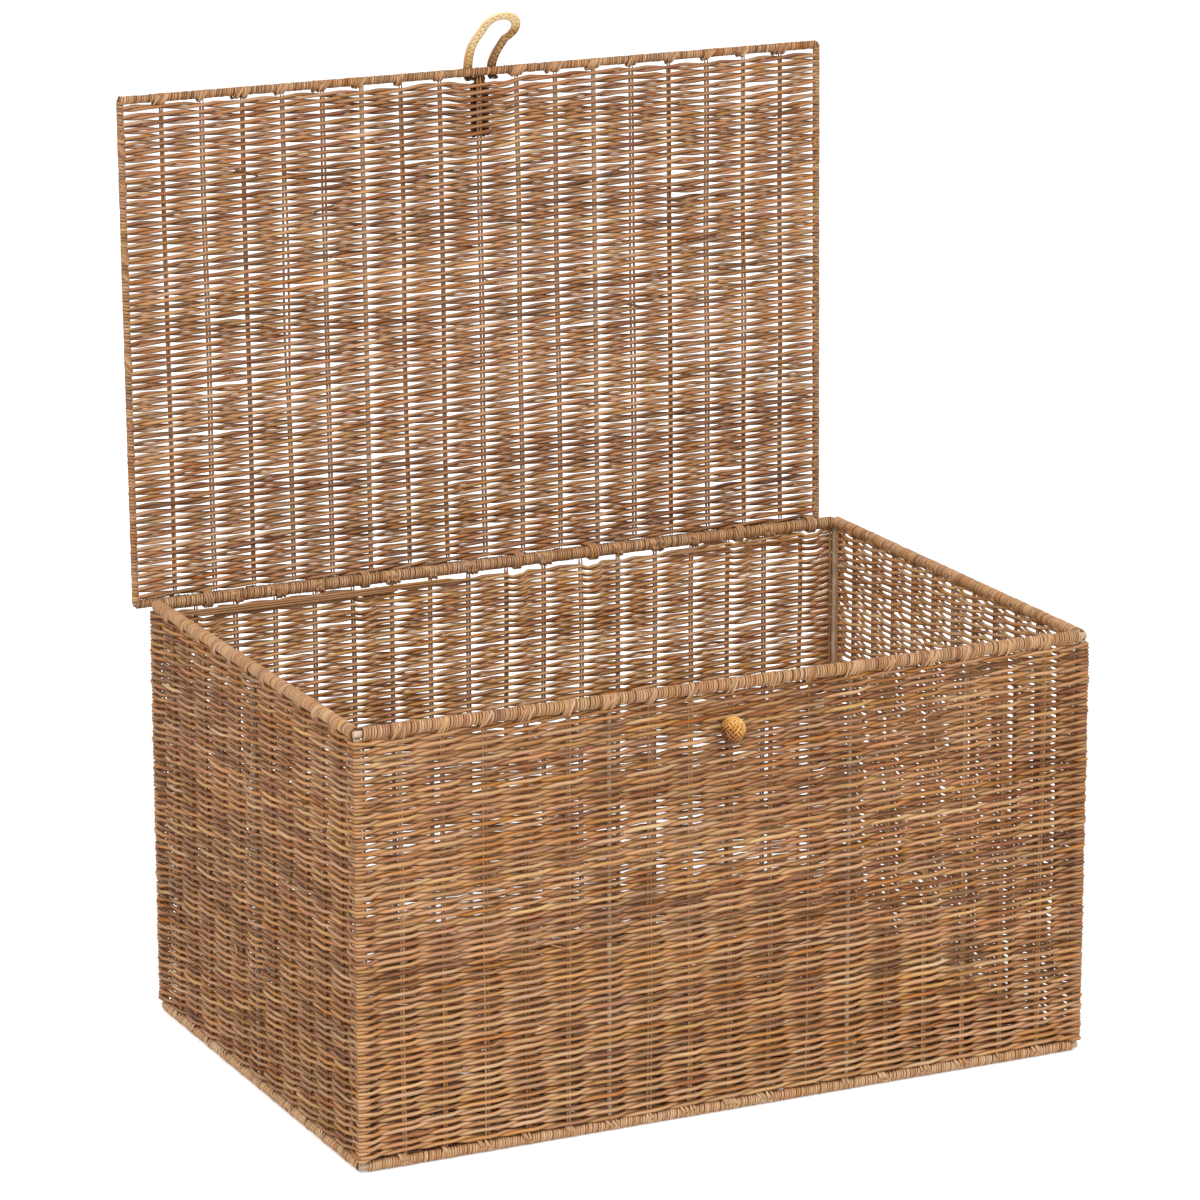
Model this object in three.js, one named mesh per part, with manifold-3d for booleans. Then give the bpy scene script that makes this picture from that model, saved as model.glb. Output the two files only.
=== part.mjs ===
// A woven cane trunk on a rod frame, with its lid standing open.
// Millimetres, +Z up. The front faces -Y, and +X is to the right as seen from the front.
// The origin is the middle of the base's underside.

import * as THREE from 'three';
import { mergeVertices } from 'three/addons/utils/BufferGeometryUtils.js';
import Module from 'manifold-3d';

const wasm = await Module();
wasm.setup();

// Box, between rod centrelines
const boxWidth = 700;
const boxDepth = 460;
const boxHeight = 384;

// Lid
const lidOverhang = 1.5;
const lidSideShift = -16;
const lidLeanDegrees = 1;

// Counts of stake spaces
const spacesAcross = 18;
const spacesDeep = 12;
const spacesPerBay = 6;

// Rods
const frameRodRadius = 3.2;
const lidRodRadius = 2.4;
const uprightRadius = 2.2;

// Cane
const strandDiameter = 3;
const stakeDiameter = 2.8;
const stakePairWidth = 6.4;
const weaveThickness = 9;
const rimWrapThickness = 2.1;
const baseWrapThickness = 1.4;
const lidWrapThickness = 1.8;

// Clearances and gaps
const clearance = 0.3;
const bareCorner = 8;
const hingeRowGap = 1;
const lidFrontRowGap = 5;
const overrun = 20;

// Hinge ties
const tieSpaces = [1, 5, 9, 11, 15, 17];
const tieLoops = 3;
const tieStrandDiameter = 2.4;
const tieLoopPitch = 2.95;
const tieClearance = 0.4;
const stepsPerLoop = 24;
const tieStrandSides = 6;

// Knob
const knobRadius = 11;
const knobDepth = 21;
const knobDrop = 36;
const knobSideShift = -5.5;
const knobStemRadius = 2;
const knotRadius = 6;
const knotThickness = 3;

// Closing loop
const strapWidth = 8;
const strapThickness = 4;
const loopBaseShift = 4;
const loopLegSpacing = 24;
const loopLeanDegrees = 38;
const loopEyeClearance = 1.2;
const loopHookDegrees = 125;
const loopEyeStartDegrees = 165;
const loopEyeEndDegrees = -55;
const anchorWidth = 19;
const anchorLength = 52;
const anchorSetBack = 10.2;
const anchorCornerRadius = 5;

// Shares of the loop's leg spacing sideways, and of its eye's reach outward
const leftLegShares = [[-0.5, 0], [-0.6, 0.27], [-0.62, 0.62]];
const rightLegShares = [[0.5, 0.38], [0.47, 0.12], [0.5, 0]];

// Roundness
const rodSides = 12;
const knobSides = 24;
const knobRings = 12;
const hookSteps = 8;
const bulbSteps = 22;
const legSteps = 6;
const matStepsPerSpace = 4;

// Worked out from the sizes above
const lidWidth = boxWidth;
const lidDepth = boxDepth + lidOverhang;
const rimWrapRadius = frameRodRadius + clearance + rimWrapThickness;
const baseWrapRadius = frameRodRadius + clearance + baseWrapThickness;
const lidWrapRadius = lidRodRadius + clearance + lidWrapThickness;
const postColumnRadius = frameRodRadius + strandDiameter;
const baseZ = baseWrapRadius;
const rimZ = baseZ + boxHeight;
const acrossPitch = boxWidth / spacesAcross;
const uprightX = acrossPitch * spacesPerBay / 2;
const panelBottom = baseZ + baseWrapRadius + clearance;
const panelTop = rimZ - rimWrapRadius - clearance;
const tieReach = rimWrapRadius + tieClearance + tieStrandDiameter;
const backPanelTop = rimZ - tieReach - hingeRowGap;
const lidRise = rimWrapRadius + clearance + lidWrapRadius;
const lidHingeRow = lidWrapRadius + tieClearance + tieStrandDiameter + hingeRowGap;
const lidFrontRow = lidWrapRadius + lidFrontRowGap;
const halfWeave = weaveThickness / 2;

// Materials
function surface(color, roughness, metalness) {
  return new THREE.MeshStandardMaterial({ color, roughness, metalness });
}
const metal = surface(0xb9a89a, 0.5, 0.8);
const wallCane = surface(0xa9794a, 0.7, 0);
const lidCane = surface(0xa5703f, 0.7, 0);
const wrapCane = surface(0xc29a69, 0.6, 0);
const strapCane = surface(0xd2994f, 0.45, 0);

// Solids
function solidOf(geometry) {
  const bare = geometry.clone();
  bare.deleteAttribute('normal');
  bare.deleteAttribute('uv');
  const merged = mergeVertices(bare);
  return new wasm.Manifold(new wasm.Mesh({
    numProp: 3,
    vertProperties: new Float32Array(merged.attributes.position.array),
    triVerts: new Uint32Array(merged.index.array)
  }));
}

function geometryOf(solid) {
  const mesh = solid.getMesh();
  const geometry = new THREE.BufferGeometry();
  geometry.setAttribute('position', new THREE.BufferAttribute(mesh.vertProperties, 3));
  geometry.setIndex(new THREE.BufferAttribute(mesh.triVerts, 1));
  geometry.computeVertexNormals();
  return geometry;
}

function piece(name, geometry, material, x = 0, y = 0, z = 0) {
  const mesh = new THREE.Mesh(geometry, material);
  mesh.name = name;
  mesh.position.set(x, y, z);
  return mesh;
}

// Turns a shape made about the Y axis so that it lies along the named axis
function along(geometry, axis) {
  if (axis === 'x') geometry.rotateZ(-Math.PI / 2);
  if (axis === 'z') geometry.rotateX(Math.PI / 2);
  return geometry;
}

function rodShape(axis, radius, length) {
  return along(new THREE.CylinderGeometry(radius, radius, length, rodSides), axis);
}

function sleeveShape(axis, outer, inner, length) {
  const end = length / 2;
  const profile = [
    new THREE.Vector2(inner, -end),
    new THREE.Vector2(outer, -end),
    new THREE.Vector2(outer, end),
    new THREE.Vector2(inner, end),
    new THREE.Vector2(inner, -end)
  ];
  return along(new THREE.LatheGeometry(profile, rodSides), axis);
}

function boxShape(low, high) {
  const size = high.clone().sub(low);
  const middle = high.clone().add(low).multiplyScalar(0.5);
  const geometry = new THREE.BoxGeometry(size.x, size.y, size.z);
  return geometry.translate(middle.x, middle.y, middle.z);
}

function point(x, y, z) {
  return new THREE.Vector3(x, y, z);
}

// Joins rings of points into one closed skin
function loft(rings) {
  const count = rings[0].length;
  const positions = rings.flat().flatMap((p) => [p.x, p.y, p.z]);
  const index = [];
  for (let ring = 0; ring < rings.length - 1; ring++) {
    for (let side = 0; side < count; side++) {
      const next = (side + 1) % count;
      const here = ring * count;
      const ahead = here + count;
      index.push(here + side, here + next, ahead + next);
      index.push(here + side, ahead + next, ahead + side);
    }
  }
  const last = (rings.length - 1) * count;
  for (let side = 1; side < count - 1; side++) {
    index.push(0, side + 1, side);
    index.push(last, last + side, last + side + 1);
  }
  const geometry = new THREE.BufferGeometry();
  geometry.setAttribute('position', new THREE.Float32BufferAttribute(positions, 3));
  geometry.setIndex(index);
  geometry.computeVertexNormals();
  return geometry;
}

function directionAt(points, i) {
  const before = points[Math.max(i - 1, 0)];
  const after = points[Math.min(i + 1, points.length - 1)];
  return after.clone().sub(before).normalize();
}

// Rods of the frame, each ending a clearance short of what it is welded to
function longRods(prefix, z) {
  const length = boxWidth + 2 * frameRodRadius;
  const front = rodShape('x', frameRodRadius, length);
  return [
    piece(`${prefix}_rod_front`, front, metal, 0, -boxDepth / 2, z),
    piece(`${prefix}_rod_back`, front, metal, 0, boxDepth / 2, z)
  ];
}

function sideRods(prefix, z) {
  const length = boxDepth - 2 * (frameRodRadius + clearance);
  const side = rodShape('y', frameRodRadius, length);
  return [
    piece(`${prefix}_rod_left`, side, metal, -boxWidth / 2, 0, z),
    piece(`${prefix}_rod_right`, side, metal, boxWidth / 2, 0, z)
  ];
}

function verticals() {
  const length = boxHeight - 2 * (frameRodRadius + clearance);
  const z = baseZ + boxHeight / 2;
  const post = rodShape('z', frameRodRadius, length);
  const upright = rodShape('z', uprightRadius, length);
  const x = boxWidth / 2;
  const y = boxDepth / 2;
  return [
    piece('corner_post_front_left', post, metal, -x, -y, z),
    piece('corner_post_front_right', post, metal, x, -y, z),
    piece('corner_post_back_left', post, metal, -x, y, z),
    piece('corner_post_back_right', post, metal, x, y, z),
    piece('upright_front_left', upright, metal, -uprightX, -y, z),
    piece('upright_front_right', upright, metal, uprightX, -y, z),
    piece('upright_back_left', upright, metal, -uprightX, y, z),
    piece('upright_back_right', upright, metal, uprightX, y, z),
    piece('upright_left', upright, metal, -x, 0, z),
    piece('upright_right', upright, metal, x, 0, z)
  ];
}

function baseBars() {
  const bar = rodShape('y', uprightRadius, boxDepth - 2 * (frameRodRadius + clearance));
  return [
    piece('base_bar_left', bar, metal, -uprightX, 0, halfWeave),
    piece('base_bar_right', bar, metal, uprightX, 0, halfWeave)
  ];
}

// A wrapped sleeve with holes where thin rods pass through its wall to the rod inside
function wrapSleeve(axis, outer, inner, length, holes) {
  let solid = solidOf(sleeveShape(axis, outer, inner, length));
  for (const hole of holes) {
    const cutter = rodShape(hole.axis, uprightRadius + clearance, outer + overrun);
    const reach = (outer + overrun) / 2;
    cutter.translate(hole.x + hole.side.x * reach, hole.y + hole.side.y * reach, hole.side.z * reach);
    cutter.translate(0, 0, hole.z);
    solid = solid.subtract(solidOf(cutter));
  }
  return geometryOf(solid);
}

function wraps(prefix, z, outer, uprightSide, holdsBars) {
  const inner = frameRodRadius + clearance;
  const up = point(0, 0, uprightSide);
  const longHoles = [];
  for (const x of [-uprightX, uprightX]) {
    longHoles.push({ axis: 'z', x, y: 0, z: 0, side: up });
  }
  const holesTowards = (side) => {
    if (!holdsBars) return longHoles;
    const bars = [-uprightX, uprightX].map((x) => (
      { axis: 'y', x, y: 0, z: halfWeave - z, side: point(0, side, 0) }
    ));
    return [...longHoles, ...bars];
  };
  const sideHole = [{ axis: 'z', x: 0, y: 0, z: 0, side: up }];
  const longLength = boxWidth - 2 * bareCorner;
  const sideLength = boxDepth - 2 * bareCorner;
  const front = wrapSleeve('x', outer, inner, longLength, holesTowards(1));
  const back = wrapSleeve('x', outer, inner, longLength, holesTowards(-1));
  const side = wrapSleeve('y', outer, inner, sideLength, sideHole);
  return [
    piece(`${prefix}_wrap_front`, front, wrapCane, 0, -boxDepth / 2, z),
    piece(`${prefix}_wrap_back`, back, wrapCane, 0, boxDepth / 2, z),
    piece(`${prefix}_wrap_left`, side, wrapCane, -boxWidth / 2, 0, z),
    piece(`${prefix}_wrap_right`, side, wrapCane, boxWidth / 2, 0, z)
  ];
}

// Places of the cane stakes between two sides, leaving out the metal ones
function stakePlaces(pitch, spaces) {
  const places = [];
  for (let i = 1; i < spaces; i++) {
    if (i % spacesPerBay !== 0) places.push((i - spaces / 2) * pitch);
  }
  return places;
}

// Half a mat's thickness: its strands stand out round each stake, and cross between stakes
function halfMatAt(place, pitch) {
  const standOff = halfWeave - strandDiameter / 2;
  return strandDiameter / 2 + standOff * Math.abs(Math.cos(Math.PI * place / pitch));
}

// A mat along X, thickest at its stakes, with its middle stake at the origin and its rows up Z
function matShape(reach, pitch, height) {
  const step = pitch / matStepsPerSpace;
  const count = Math.ceil(reach / step) - 1;
  const places = [-reach];
  for (let i = -count; i <= count; i++) places.push(i * step);
  places.push(reach);
  const front = places.map((place) => new THREE.Vector2(place, -halfMatAt(place, pitch)));
  const back = places.map((place) => new THREE.Vector2(place, halfMatAt(place, pitch)));
  const outline = new THREE.Shape([...front, ...back.reverse()]);
  return new THREE.ExtrudeGeometry(outline, { depth: height, bevelEnabled: false });
}

// A wall along X with its corner columns, woven round the posts and uprights
function longWall(top, stakeTop) {
  const height = top - panelBottom;
  const middle = (top + panelBottom) / 2;
  const mat = matShape(boxWidth / 2, acrossPitch, height);
  let solid = solidOf(mat.translate(0, 0, panelBottom));
  for (const x of [-boxWidth / 2, boxWidth / 2]) {
    const column = rodShape('z', postColumnRadius, height).translate(x, 0, middle);
    solid = solid.add(solidOf(column));
  }
  for (const x of [-boxWidth / 2, boxWidth / 2]) {
    const bore = rodShape('z', frameRodRadius + clearance, height + overrun);
    solid = solid.subtract(solidOf(bore.translate(x, 0, middle)));
  }
  for (const x of [-uprightX, uprightX]) {
    const bore = rodShape('z', uprightRadius + clearance, height + overrun);
    solid = solid.subtract(solidOf(bore.translate(x, 0, middle)));
  }
  if (stakeTop > top) {
    for (const x of stakePlaces(acrossPitch, spacesAcross)) {
      const from = point(x - stakePairWidth / 2, -stakeDiameter / 2, middle);
      const to = point(x + stakePairWidth / 2, stakeDiameter / 2, stakeTop);
      solid = solid.add(solidOf(boxShape(from, to)));
    }
  }
  return solid;
}

function sideWall() {
  const reach = boxDepth / 2 - postColumnRadius - clearance;
  const height = panelTop - panelBottom;
  const mat = matShape(reach, boxDepth / spacesDeep, height).rotateZ(Math.PI / 2);
  const bore = rodShape('z', uprightRadius + clearance, height + overrun);
  bore.translate(0, 0, (panelTop + panelBottom) / 2);
  return solidOf(mat.translate(0, 0, panelBottom)).subtract(solidOf(bore));
}

function baseMat() {
  const x = boxWidth / 2 - baseWrapRadius - clearance;
  const y = boxDepth / 2 - baseWrapRadius - clearance;
  let solid = solidOf(boxShape(point(-x, -y, 0), point(x, y, weaveThickness)));
  for (const place of [-uprightX, uprightX]) {
    const bore = rodShape('y', uprightRadius + clearance, boxDepth);
    solid = solid.subtract(solidOf(bore.translate(place, 0, halfWeave)));
  }
  return geometryOf(solid);
}

function walls() {
  const stemBore = rodShape('y', knobStemRadius + clearance, weaveThickness + overrun);
  stemBore.translate(knobSideShift, 0, rimZ - knobDrop);
  const front = longWall(panelTop, panelTop).subtract(solidOf(stemBore));
  const back = longWall(backPanelTop, panelTop);
  const side = geometryOf(sideWall());
  return [
    piece('weave_front', geometryOf(front), wallCane, 0, -boxDepth / 2, 0),
    piece('weave_back', geometryOf(back), wallCane, 0, boxDepth / 2, 0),
    piece('weave_left', side, wallCane, -boxWidth / 2, 0, 0),
    piece('weave_right', side, wallCane, boxWidth / 2, 0, 0),
    piece('weave_base', baseMat(), wallCane)
  ];
}

// A rounded ball knob, with a stem through the wall to a knot inside
function knobPieces() {
  const wallFace = halfWeave + clearance;
  const ballMiddle = wallFace + knobDepth / 2;
  const stemEnd = -halfWeave - clearance - knotThickness;
  const profile = [new THREE.Vector2(0, stemEnd)];
  profile.push(new THREE.Vector2(knobStemRadius, stemEnd));
  const stemAngle = Math.asin(knobStemRadius / knobRadius);
  for (let i = 0; i < knobRings; i++) {
    const angle = Math.PI - stemAngle - (Math.PI - stemAngle) * i / knobRings;
    const radius = knobRadius * Math.sin(angle);
    profile.push(new THREE.Vector2(radius, ballMiddle + knobDepth / 2 * Math.cos(angle)));
  }
  profile.push(new THREE.Vector2(0, ballMiddle + knobDepth / 2));
  const knob = new THREE.LatheGeometry(profile, knobSides).rotateX(Math.PI);
  const knot = sleeveShape('y', knotRadius, knobStemRadius + clearance, knotThickness);
  const knotY = -boxDepth / 2 + halfWeave + clearance + knotThickness / 2;
  const z = rimZ - knobDrop;
  return [
    piece('knob', knob, strapCane, knobSideShift, -boxDepth / 2, z),
    piece('knob_knot', knot, strapCane, knobSideShift, knotY, z)
  ];
}

// The lid is laid out closed, from the hinge axis at its back edge forward to -Y
function lidRods() {
  const long = rodShape('x', lidRodRadius, lidWidth);
  const deep = lidDepth - 2 * (lidRodRadius + clearance);
  const side = rodShape('y', lidRodRadius, deep);
  const bar = rodShape('y', uprightRadius, deep);
  return [
    piece('lid_rod_back', long, metal, 0, 0, lidRise),
    piece('lid_rod_front', long, metal, 0, -lidDepth, lidRise),
    piece('lid_rod_left', side, metal, -lidWidth / 2, -lidDepth / 2, lidRise),
    piece('lid_rod_right', side, metal, lidWidth / 2, -lidDepth / 2, lidRise),
    piece('lid_bar_left', bar, metal, -uprightX, -lidDepth / 2, lidRise),
    piece('lid_bar_right', bar, metal, uprightX, -lidDepth / 2, lidRise)
  ];
}

// Cuts a sleeve's two ends at 45 degrees, so that sleeves meet round a corner
function mitred(solid, length, outer, turned) {
  const end = length / 2 - clearance / Math.SQRT2;
  const outline = new THREE.Shape();
  outline.moveTo(-end - outer, -outer);
  outline.lineTo(end + outer, -outer);
  outline.lineTo(end - outer, outer);
  outline.lineTo(-end + outer, outer);
  const depth = 2 * (outer + overrun);
  const wedge = new THREE.ExtrudeGeometry(outline, { depth, bevelEnabled: false });
  wedge.translate(0, 0, -depth / 2).rotateZ(turned);
  return solid.intersect(solidOf(wedge));
}

function lidWraps() {
  const inner = lidRodRadius + clearance;
  const outer = lidWrapRadius;
  const long = solidOf(sleeveShape('x', outer, inner, lidWidth + 2 * outer));
  const deep = solidOf(sleeveShape('y', outer, inner, lidDepth + 2 * outer));
  const holed = (solid, side) => {
    let result = solid;
    for (const x of [-uprightX, uprightX]) {
      const bore = rodShape('y', uprightRadius + clearance, overrun);
      result = result.subtract(solidOf(bore.translate(x, side * overrun / 2, 0)));
    }
    return geometryOf(result);
  };
  const front = holed(mitred(long, lidWidth, outer, 0), 1);
  const back = holed(mitred(long, lidWidth, outer, Math.PI), -1);
  const left = geometryOf(mitred(deep, lidDepth, outer, -Math.PI / 2));
  const right = geometryOf(mitred(deep, lidDepth, outer, Math.PI / 2));
  return [
    piece('lid_wrap_front', front, wrapCane, 0, -lidDepth, lidRise),
    piece('lid_wrap_back', back, wrapCane, 0, 0, lidRise),
    piece('lid_wrap_left', left, wrapCane, -lidWidth / 2, -lidDepth / 2, lidRise),
    piece('lid_wrap_right', right, wrapCane, lidWidth / 2, -lidDepth / 2, lidRise)
  ];
}

// The lid's mat, whose stakes run on past the first and last rows to the rods
function lidWeave() {
  const x = lidWidth / 2 - lidWrapRadius - clearance;
  const front = -lidDepth + lidFrontRow;
  const back = -lidHingeRow;
  const mat = matShape(x, acrossPitch, back - front).rotateX(Math.PI / 2);
  let solid = solidOf(mat.translate(0, back, 0));
  const stakeEnd = lidWrapRadius + clearance;
  for (const place of stakePlaces(acrossPitch, spacesAcross)) {
    const from = point(place - stakePairWidth / 2, -lidDepth + stakeEnd, -stakeDiameter / 2);
    const to = point(place + stakePairWidth / 2, -stakeEnd, stakeDiameter / 2);
    solid = solid.add(solidOf(boxShape(from, to)));
  }
  for (const place of [-uprightX, uprightX]) {
    const bore = rodShape('y', uprightRadius + clearance, lidDepth + overrun);
    solid = solid.subtract(solidOf(bore.translate(place, -lidDepth / 2, 0)));
  }
  return piece('lid_weave', geometryOf(solid), lidCane, 0, 0, lidRise);
}

// A point on the belt round the rim below and the lid's rod above, at a share of its length
function beltPoint(share) {
  const low = rimWrapRadius + tieClearance + tieStrandDiameter / 2;
  const high = lidWrapRadius + tieClearance + tieStrandDiameter / 2;
  const tilt = Math.asin((low - high) / lidRise);
  const straight = lidRise * Math.cos(tilt);
  const lowArc = low * (Math.PI + 2 * tilt);
  const highArc = high * (Math.PI - 2 * tilt);
  const total = 2 * straight + lowArc + highArc;
  let run = (share - Math.floor(share)) * total;
  if (run < lowArc) {
    const angle = Math.PI - tilt + run / low;
    return [low * Math.cos(angle), low * Math.sin(angle)];
  }
  run -= lowArc;
  const across = Math.cos(tilt);
  const rise = Math.sin(tilt);
  if (run < straight) {
    return [low * across - run * rise, low * rise + run * across];
  }
  run -= straight;
  if (run < highArc) {
    const angle = tilt + run / high;
    return [high * Math.cos(angle), lidRise + high * Math.sin(angle)];
  }
  run -= highArc;
  return [-high * across - run * rise, lidRise + high * rise - run * across];
}

function tiePath() {
  const steps = tieLoops * stepsPerLoop;
  const path = [];
  for (let i = 0; i <= steps; i++) {
    const [y, z] = beltPoint(i / stepsPerLoop);
    path.push(point((i / stepsPerLoop - tieLoops / 2) * tieLoopPitch, y, z));
  }
  return path;
}

// The least space between one loop and the next, measured from point to point
function leastSelfGap(path, diameter) {
  let least = Infinity;
  for (let i = 0; i < path.length; i++) {
    for (let j = i + stepsPerLoop / 2; j < path.length; j++) {
      least = Math.min(least, path[i].distanceTo(path[j]) - diameter);
    }
  }
  return least;
}

function strandAlong(path, diameter, sides) {
  const rings = path.map((centre, i) => {
    const ahead = directionAt(path, i);
    const wide = point(1, 0, 0).cross(ahead).normalize();
    const out = wide.clone().cross(ahead).normalize();
    const ring = [];
    for (let side = 0; side < sides; side++) {
      const angle = 2 * Math.PI * side / sides;
      const spot = centre.clone();
      spot.addScaledVector(wide, diameter / 2 * Math.cos(angle));
      spot.addScaledVector(out, -diameter / 2 * Math.sin(angle));
      ring.push(spot);
    }
    return ring;
  });
  return loft(rings);
}

// How far a tie lies from a wall's stake, in the wider of the two gaps left by the lid's stakes
function tieOffset() {
  const gap = THREE.MathUtils.euclideanModulo(lidSideShift, acrossPitch);
  return gap > acrossPitch / 2 ? gap / 2 : (gap - acrossPitch) / 2;
}

function hingeTies() {
  const path = tiePath();
  const gap = leastSelfGap(path, tieStrandDiameter);
  console.log(`hinge tie: least gap between loops ${gap.toFixed(2)} mm`);
  const geometry = strandAlong(path, tieStrandDiameter, tieStrandSides);
  return tieSpaces.map((space, i) => {
    const x = (space - spacesAcross / 2) * acrossPitch + tieOffset() - lidSideShift;
    return piece(`hinge_tie_${i + 1}`, geometry, wrapCane, x, 0, 0);
  });
}

// The strap's end, laid flat on the lid's outer face
function loopAnchor() {
  const x = anchorWidth / 2;
  const y = anchorLength / 2;
  const r = anchorCornerRadius;
  const outline = new THREE.Shape();
  outline.moveTo(-x, -y);
  outline.lineTo(x, -y);
  outline.lineTo(x, y - r);
  outline.absarc(x - r, y - r, r, 0, Math.PI / 2);
  outline.lineTo(-x + r, y);
  outline.absarc(-x + r, y - r, r, Math.PI / 2, Math.PI);
  const options = { depth: strapThickness, bevelEnabled: false, curveSegments: 4 };
  const geometry = new THREE.ExtrudeGeometry(outline, options);
  const middle = -lidDepth + anchorSetBack + anchorLength / 2;
  const z = lidRise + halfWeave + clearance;
  return piece('loop_anchor', geometry, strapCane, loopBaseShift, middle, z);
}

// The loop leans in over the lid, and its eye meets the knob when it is folded down.
// It is laid out with the rod's axis at the origin and -Y outward.
// The eye's middle lies where the knob's middle passes through it as the loop swings over.
const strapRadius = lidWrapRadius + clearance + strapThickness / 2;
const ballOut = halfWeave + clearance + knobDepth / 2 - lidOverhang;
const ballDown = lidRise + knobDrop;
const eyeX = knobSideShift - lidSideShift - loopBaseShift;
const eyeReach = Math.sqrt(ballOut ** 2 + ballDown ** 2 - strapRadius ** 2);
const eyeRadius = knobRadius + loopEyeClearance + strapWidth / 2;

function hookStretch(x) {
  const stretch = [];
  for (let i = hookSteps; i > 0; i--) {
    const angle = loopHookDegrees * Math.PI / 180 * i / hookSteps;
    const face = point(0, Math.sin(angle), Math.cos(angle));
    stretch.push({ at: face.clone().multiplyScalar(strapRadius).setX(x), face });
  }
  return stretch;
}

function loopStretch() {
  const face = point(0, 0, 1);
  const at = (x, out) => point(x, -out, strapRadius);
  const inPlace = ([x, out]) => at(x * loopLegSpacing, out * eyeReach);
  const eye = [];
  for (let i = 0; i <= bulbSteps; i++) {
    const share = i / bulbSteps;
    const degrees = loopEyeStartDegrees + (loopEyeEndDegrees - loopEyeStartDegrees) * share;
    const angle = degrees * Math.PI / 180;
    eye.push(at(eyeX + eyeRadius * Math.cos(angle), eyeReach + eyeRadius * Math.sin(angle)));
  }
  const left = new THREE.CatmullRomCurve3([...leftLegShares.map(inPlace), eye[0]]);
  const right = new THREE.CatmullRomCurve3([eye[bulbSteps], ...rightLegShares.map(inPlace)]);
  const points = [
    ...left.getSpacedPoints(legSteps * 2).slice(0, -1),
    ...eye,
    ...right.getSpacedPoints(legSteps).slice(1)
  ];
  return points.map((spot) => ({ at: spot, face }));
}

function loopStrap() {
  const leftHook = hookStretch(-loopLegSpacing / 2);
  const rightHook = hookStretch(loopLegSpacing / 2).reverse();
  const stretch = [...leftHook, ...loopStretch(), ...rightHook];
  const path = stretch.map((step) => step.at);
  const rings = stretch.map((step, i) => {
    const ahead = directionAt(path, i);
    const wide = ahead.clone().cross(step.face).normalize();
    const corner = (side, depth) => step.at.clone()
      .addScaledVector(wide, side * strapWidth / 2)
      .addScaledVector(step.face, depth * strapThickness / 2);
    return [corner(-1, -1), corner(-1, 1), corner(1, 1), corner(1, -1)];
  });
  const strap = piece('loop_strap', loft(rings), strapCane);
  const group = new THREE.Group();
  group.position.set(loopBaseShift, -lidDepth, lidRise);
  group.rotation.x = loopLeanDegrees * Math.PI / 180;
  group.add(strap);
  return group;
}

function lid() {
  const group = new THREE.Group();
  group.position.set(lidSideShift, boxDepth / 2, rimZ);
  group.rotation.x = -(90 + lidLeanDegrees) * Math.PI / 180;
  group.add(...lidRods(), ...lidWraps(), lidWeave(), ...hingeTies(), loopAnchor(), loopStrap());
  return group;
}

const trunk = new THREE.Group();
trunk.add(...longRods('rim', rimZ), ...sideRods('rim', rimZ));
trunk.add(...longRods('base', baseZ), ...sideRods('base', baseZ));
trunk.add(...verticals(), ...baseBars());
trunk.add(...wraps('rim', rimZ, rimWrapRadius, -1, false));
trunk.add(...wraps('base', baseZ, baseWrapRadius, 1, true));
trunk.add(...walls(), ...knobPieces(), lid());

export default trunk;
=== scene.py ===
import math

import bpy
import numpy as np
from mathutils import Matrix, Vector


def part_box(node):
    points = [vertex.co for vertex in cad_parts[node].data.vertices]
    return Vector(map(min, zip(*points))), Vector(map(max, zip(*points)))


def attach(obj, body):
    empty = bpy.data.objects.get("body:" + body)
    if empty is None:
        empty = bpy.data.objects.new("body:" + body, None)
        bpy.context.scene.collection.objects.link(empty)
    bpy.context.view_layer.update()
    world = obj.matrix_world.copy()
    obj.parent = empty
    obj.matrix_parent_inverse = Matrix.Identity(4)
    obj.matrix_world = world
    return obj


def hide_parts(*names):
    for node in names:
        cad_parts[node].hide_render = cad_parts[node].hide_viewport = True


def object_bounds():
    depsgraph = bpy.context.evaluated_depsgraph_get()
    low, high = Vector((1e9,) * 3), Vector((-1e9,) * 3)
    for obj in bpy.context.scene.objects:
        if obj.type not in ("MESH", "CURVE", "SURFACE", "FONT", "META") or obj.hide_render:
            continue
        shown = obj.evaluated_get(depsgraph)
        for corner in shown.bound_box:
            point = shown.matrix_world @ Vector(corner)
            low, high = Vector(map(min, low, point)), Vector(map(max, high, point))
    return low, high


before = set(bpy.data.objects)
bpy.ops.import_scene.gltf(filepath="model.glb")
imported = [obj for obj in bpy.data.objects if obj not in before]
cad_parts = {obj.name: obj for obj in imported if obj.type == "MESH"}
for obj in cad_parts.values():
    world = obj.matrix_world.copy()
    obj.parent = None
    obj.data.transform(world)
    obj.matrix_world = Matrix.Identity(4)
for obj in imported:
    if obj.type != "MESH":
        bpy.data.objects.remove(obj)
cad_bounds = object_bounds()

# Lengths are in metres, and angles in degrees. The front of the trunk faces -Y.
MM = 0.001
SEED = 41
rng = np.random.default_rng(SEED)

# Camera, fitted to the corners of the trunk in the photograph. The focal length and the principal
# point are in the photograph's pixels.
IMAGE_SIZE = 1200
CAMERA_PLACE = Vector((-1.9987, -4.0992, 1.6365))
CAMERA_AZIMUTH = -25.03
CAMERA_ELEVATION = 15.12
CAMERA_ROLL = -0.305
FOCAL_PIXELS = 5266.4
PRINCIPAL_POINT = (528.0, 604.0)
SENSOR_WIDTH = 36.0

# Counts of stake spaces. Every sixth stake is a metal upright or bar.
SPACES_ACROSS = 18
SPACES_DEEP = 12
SPACES_PER_BAY = 6

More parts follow.
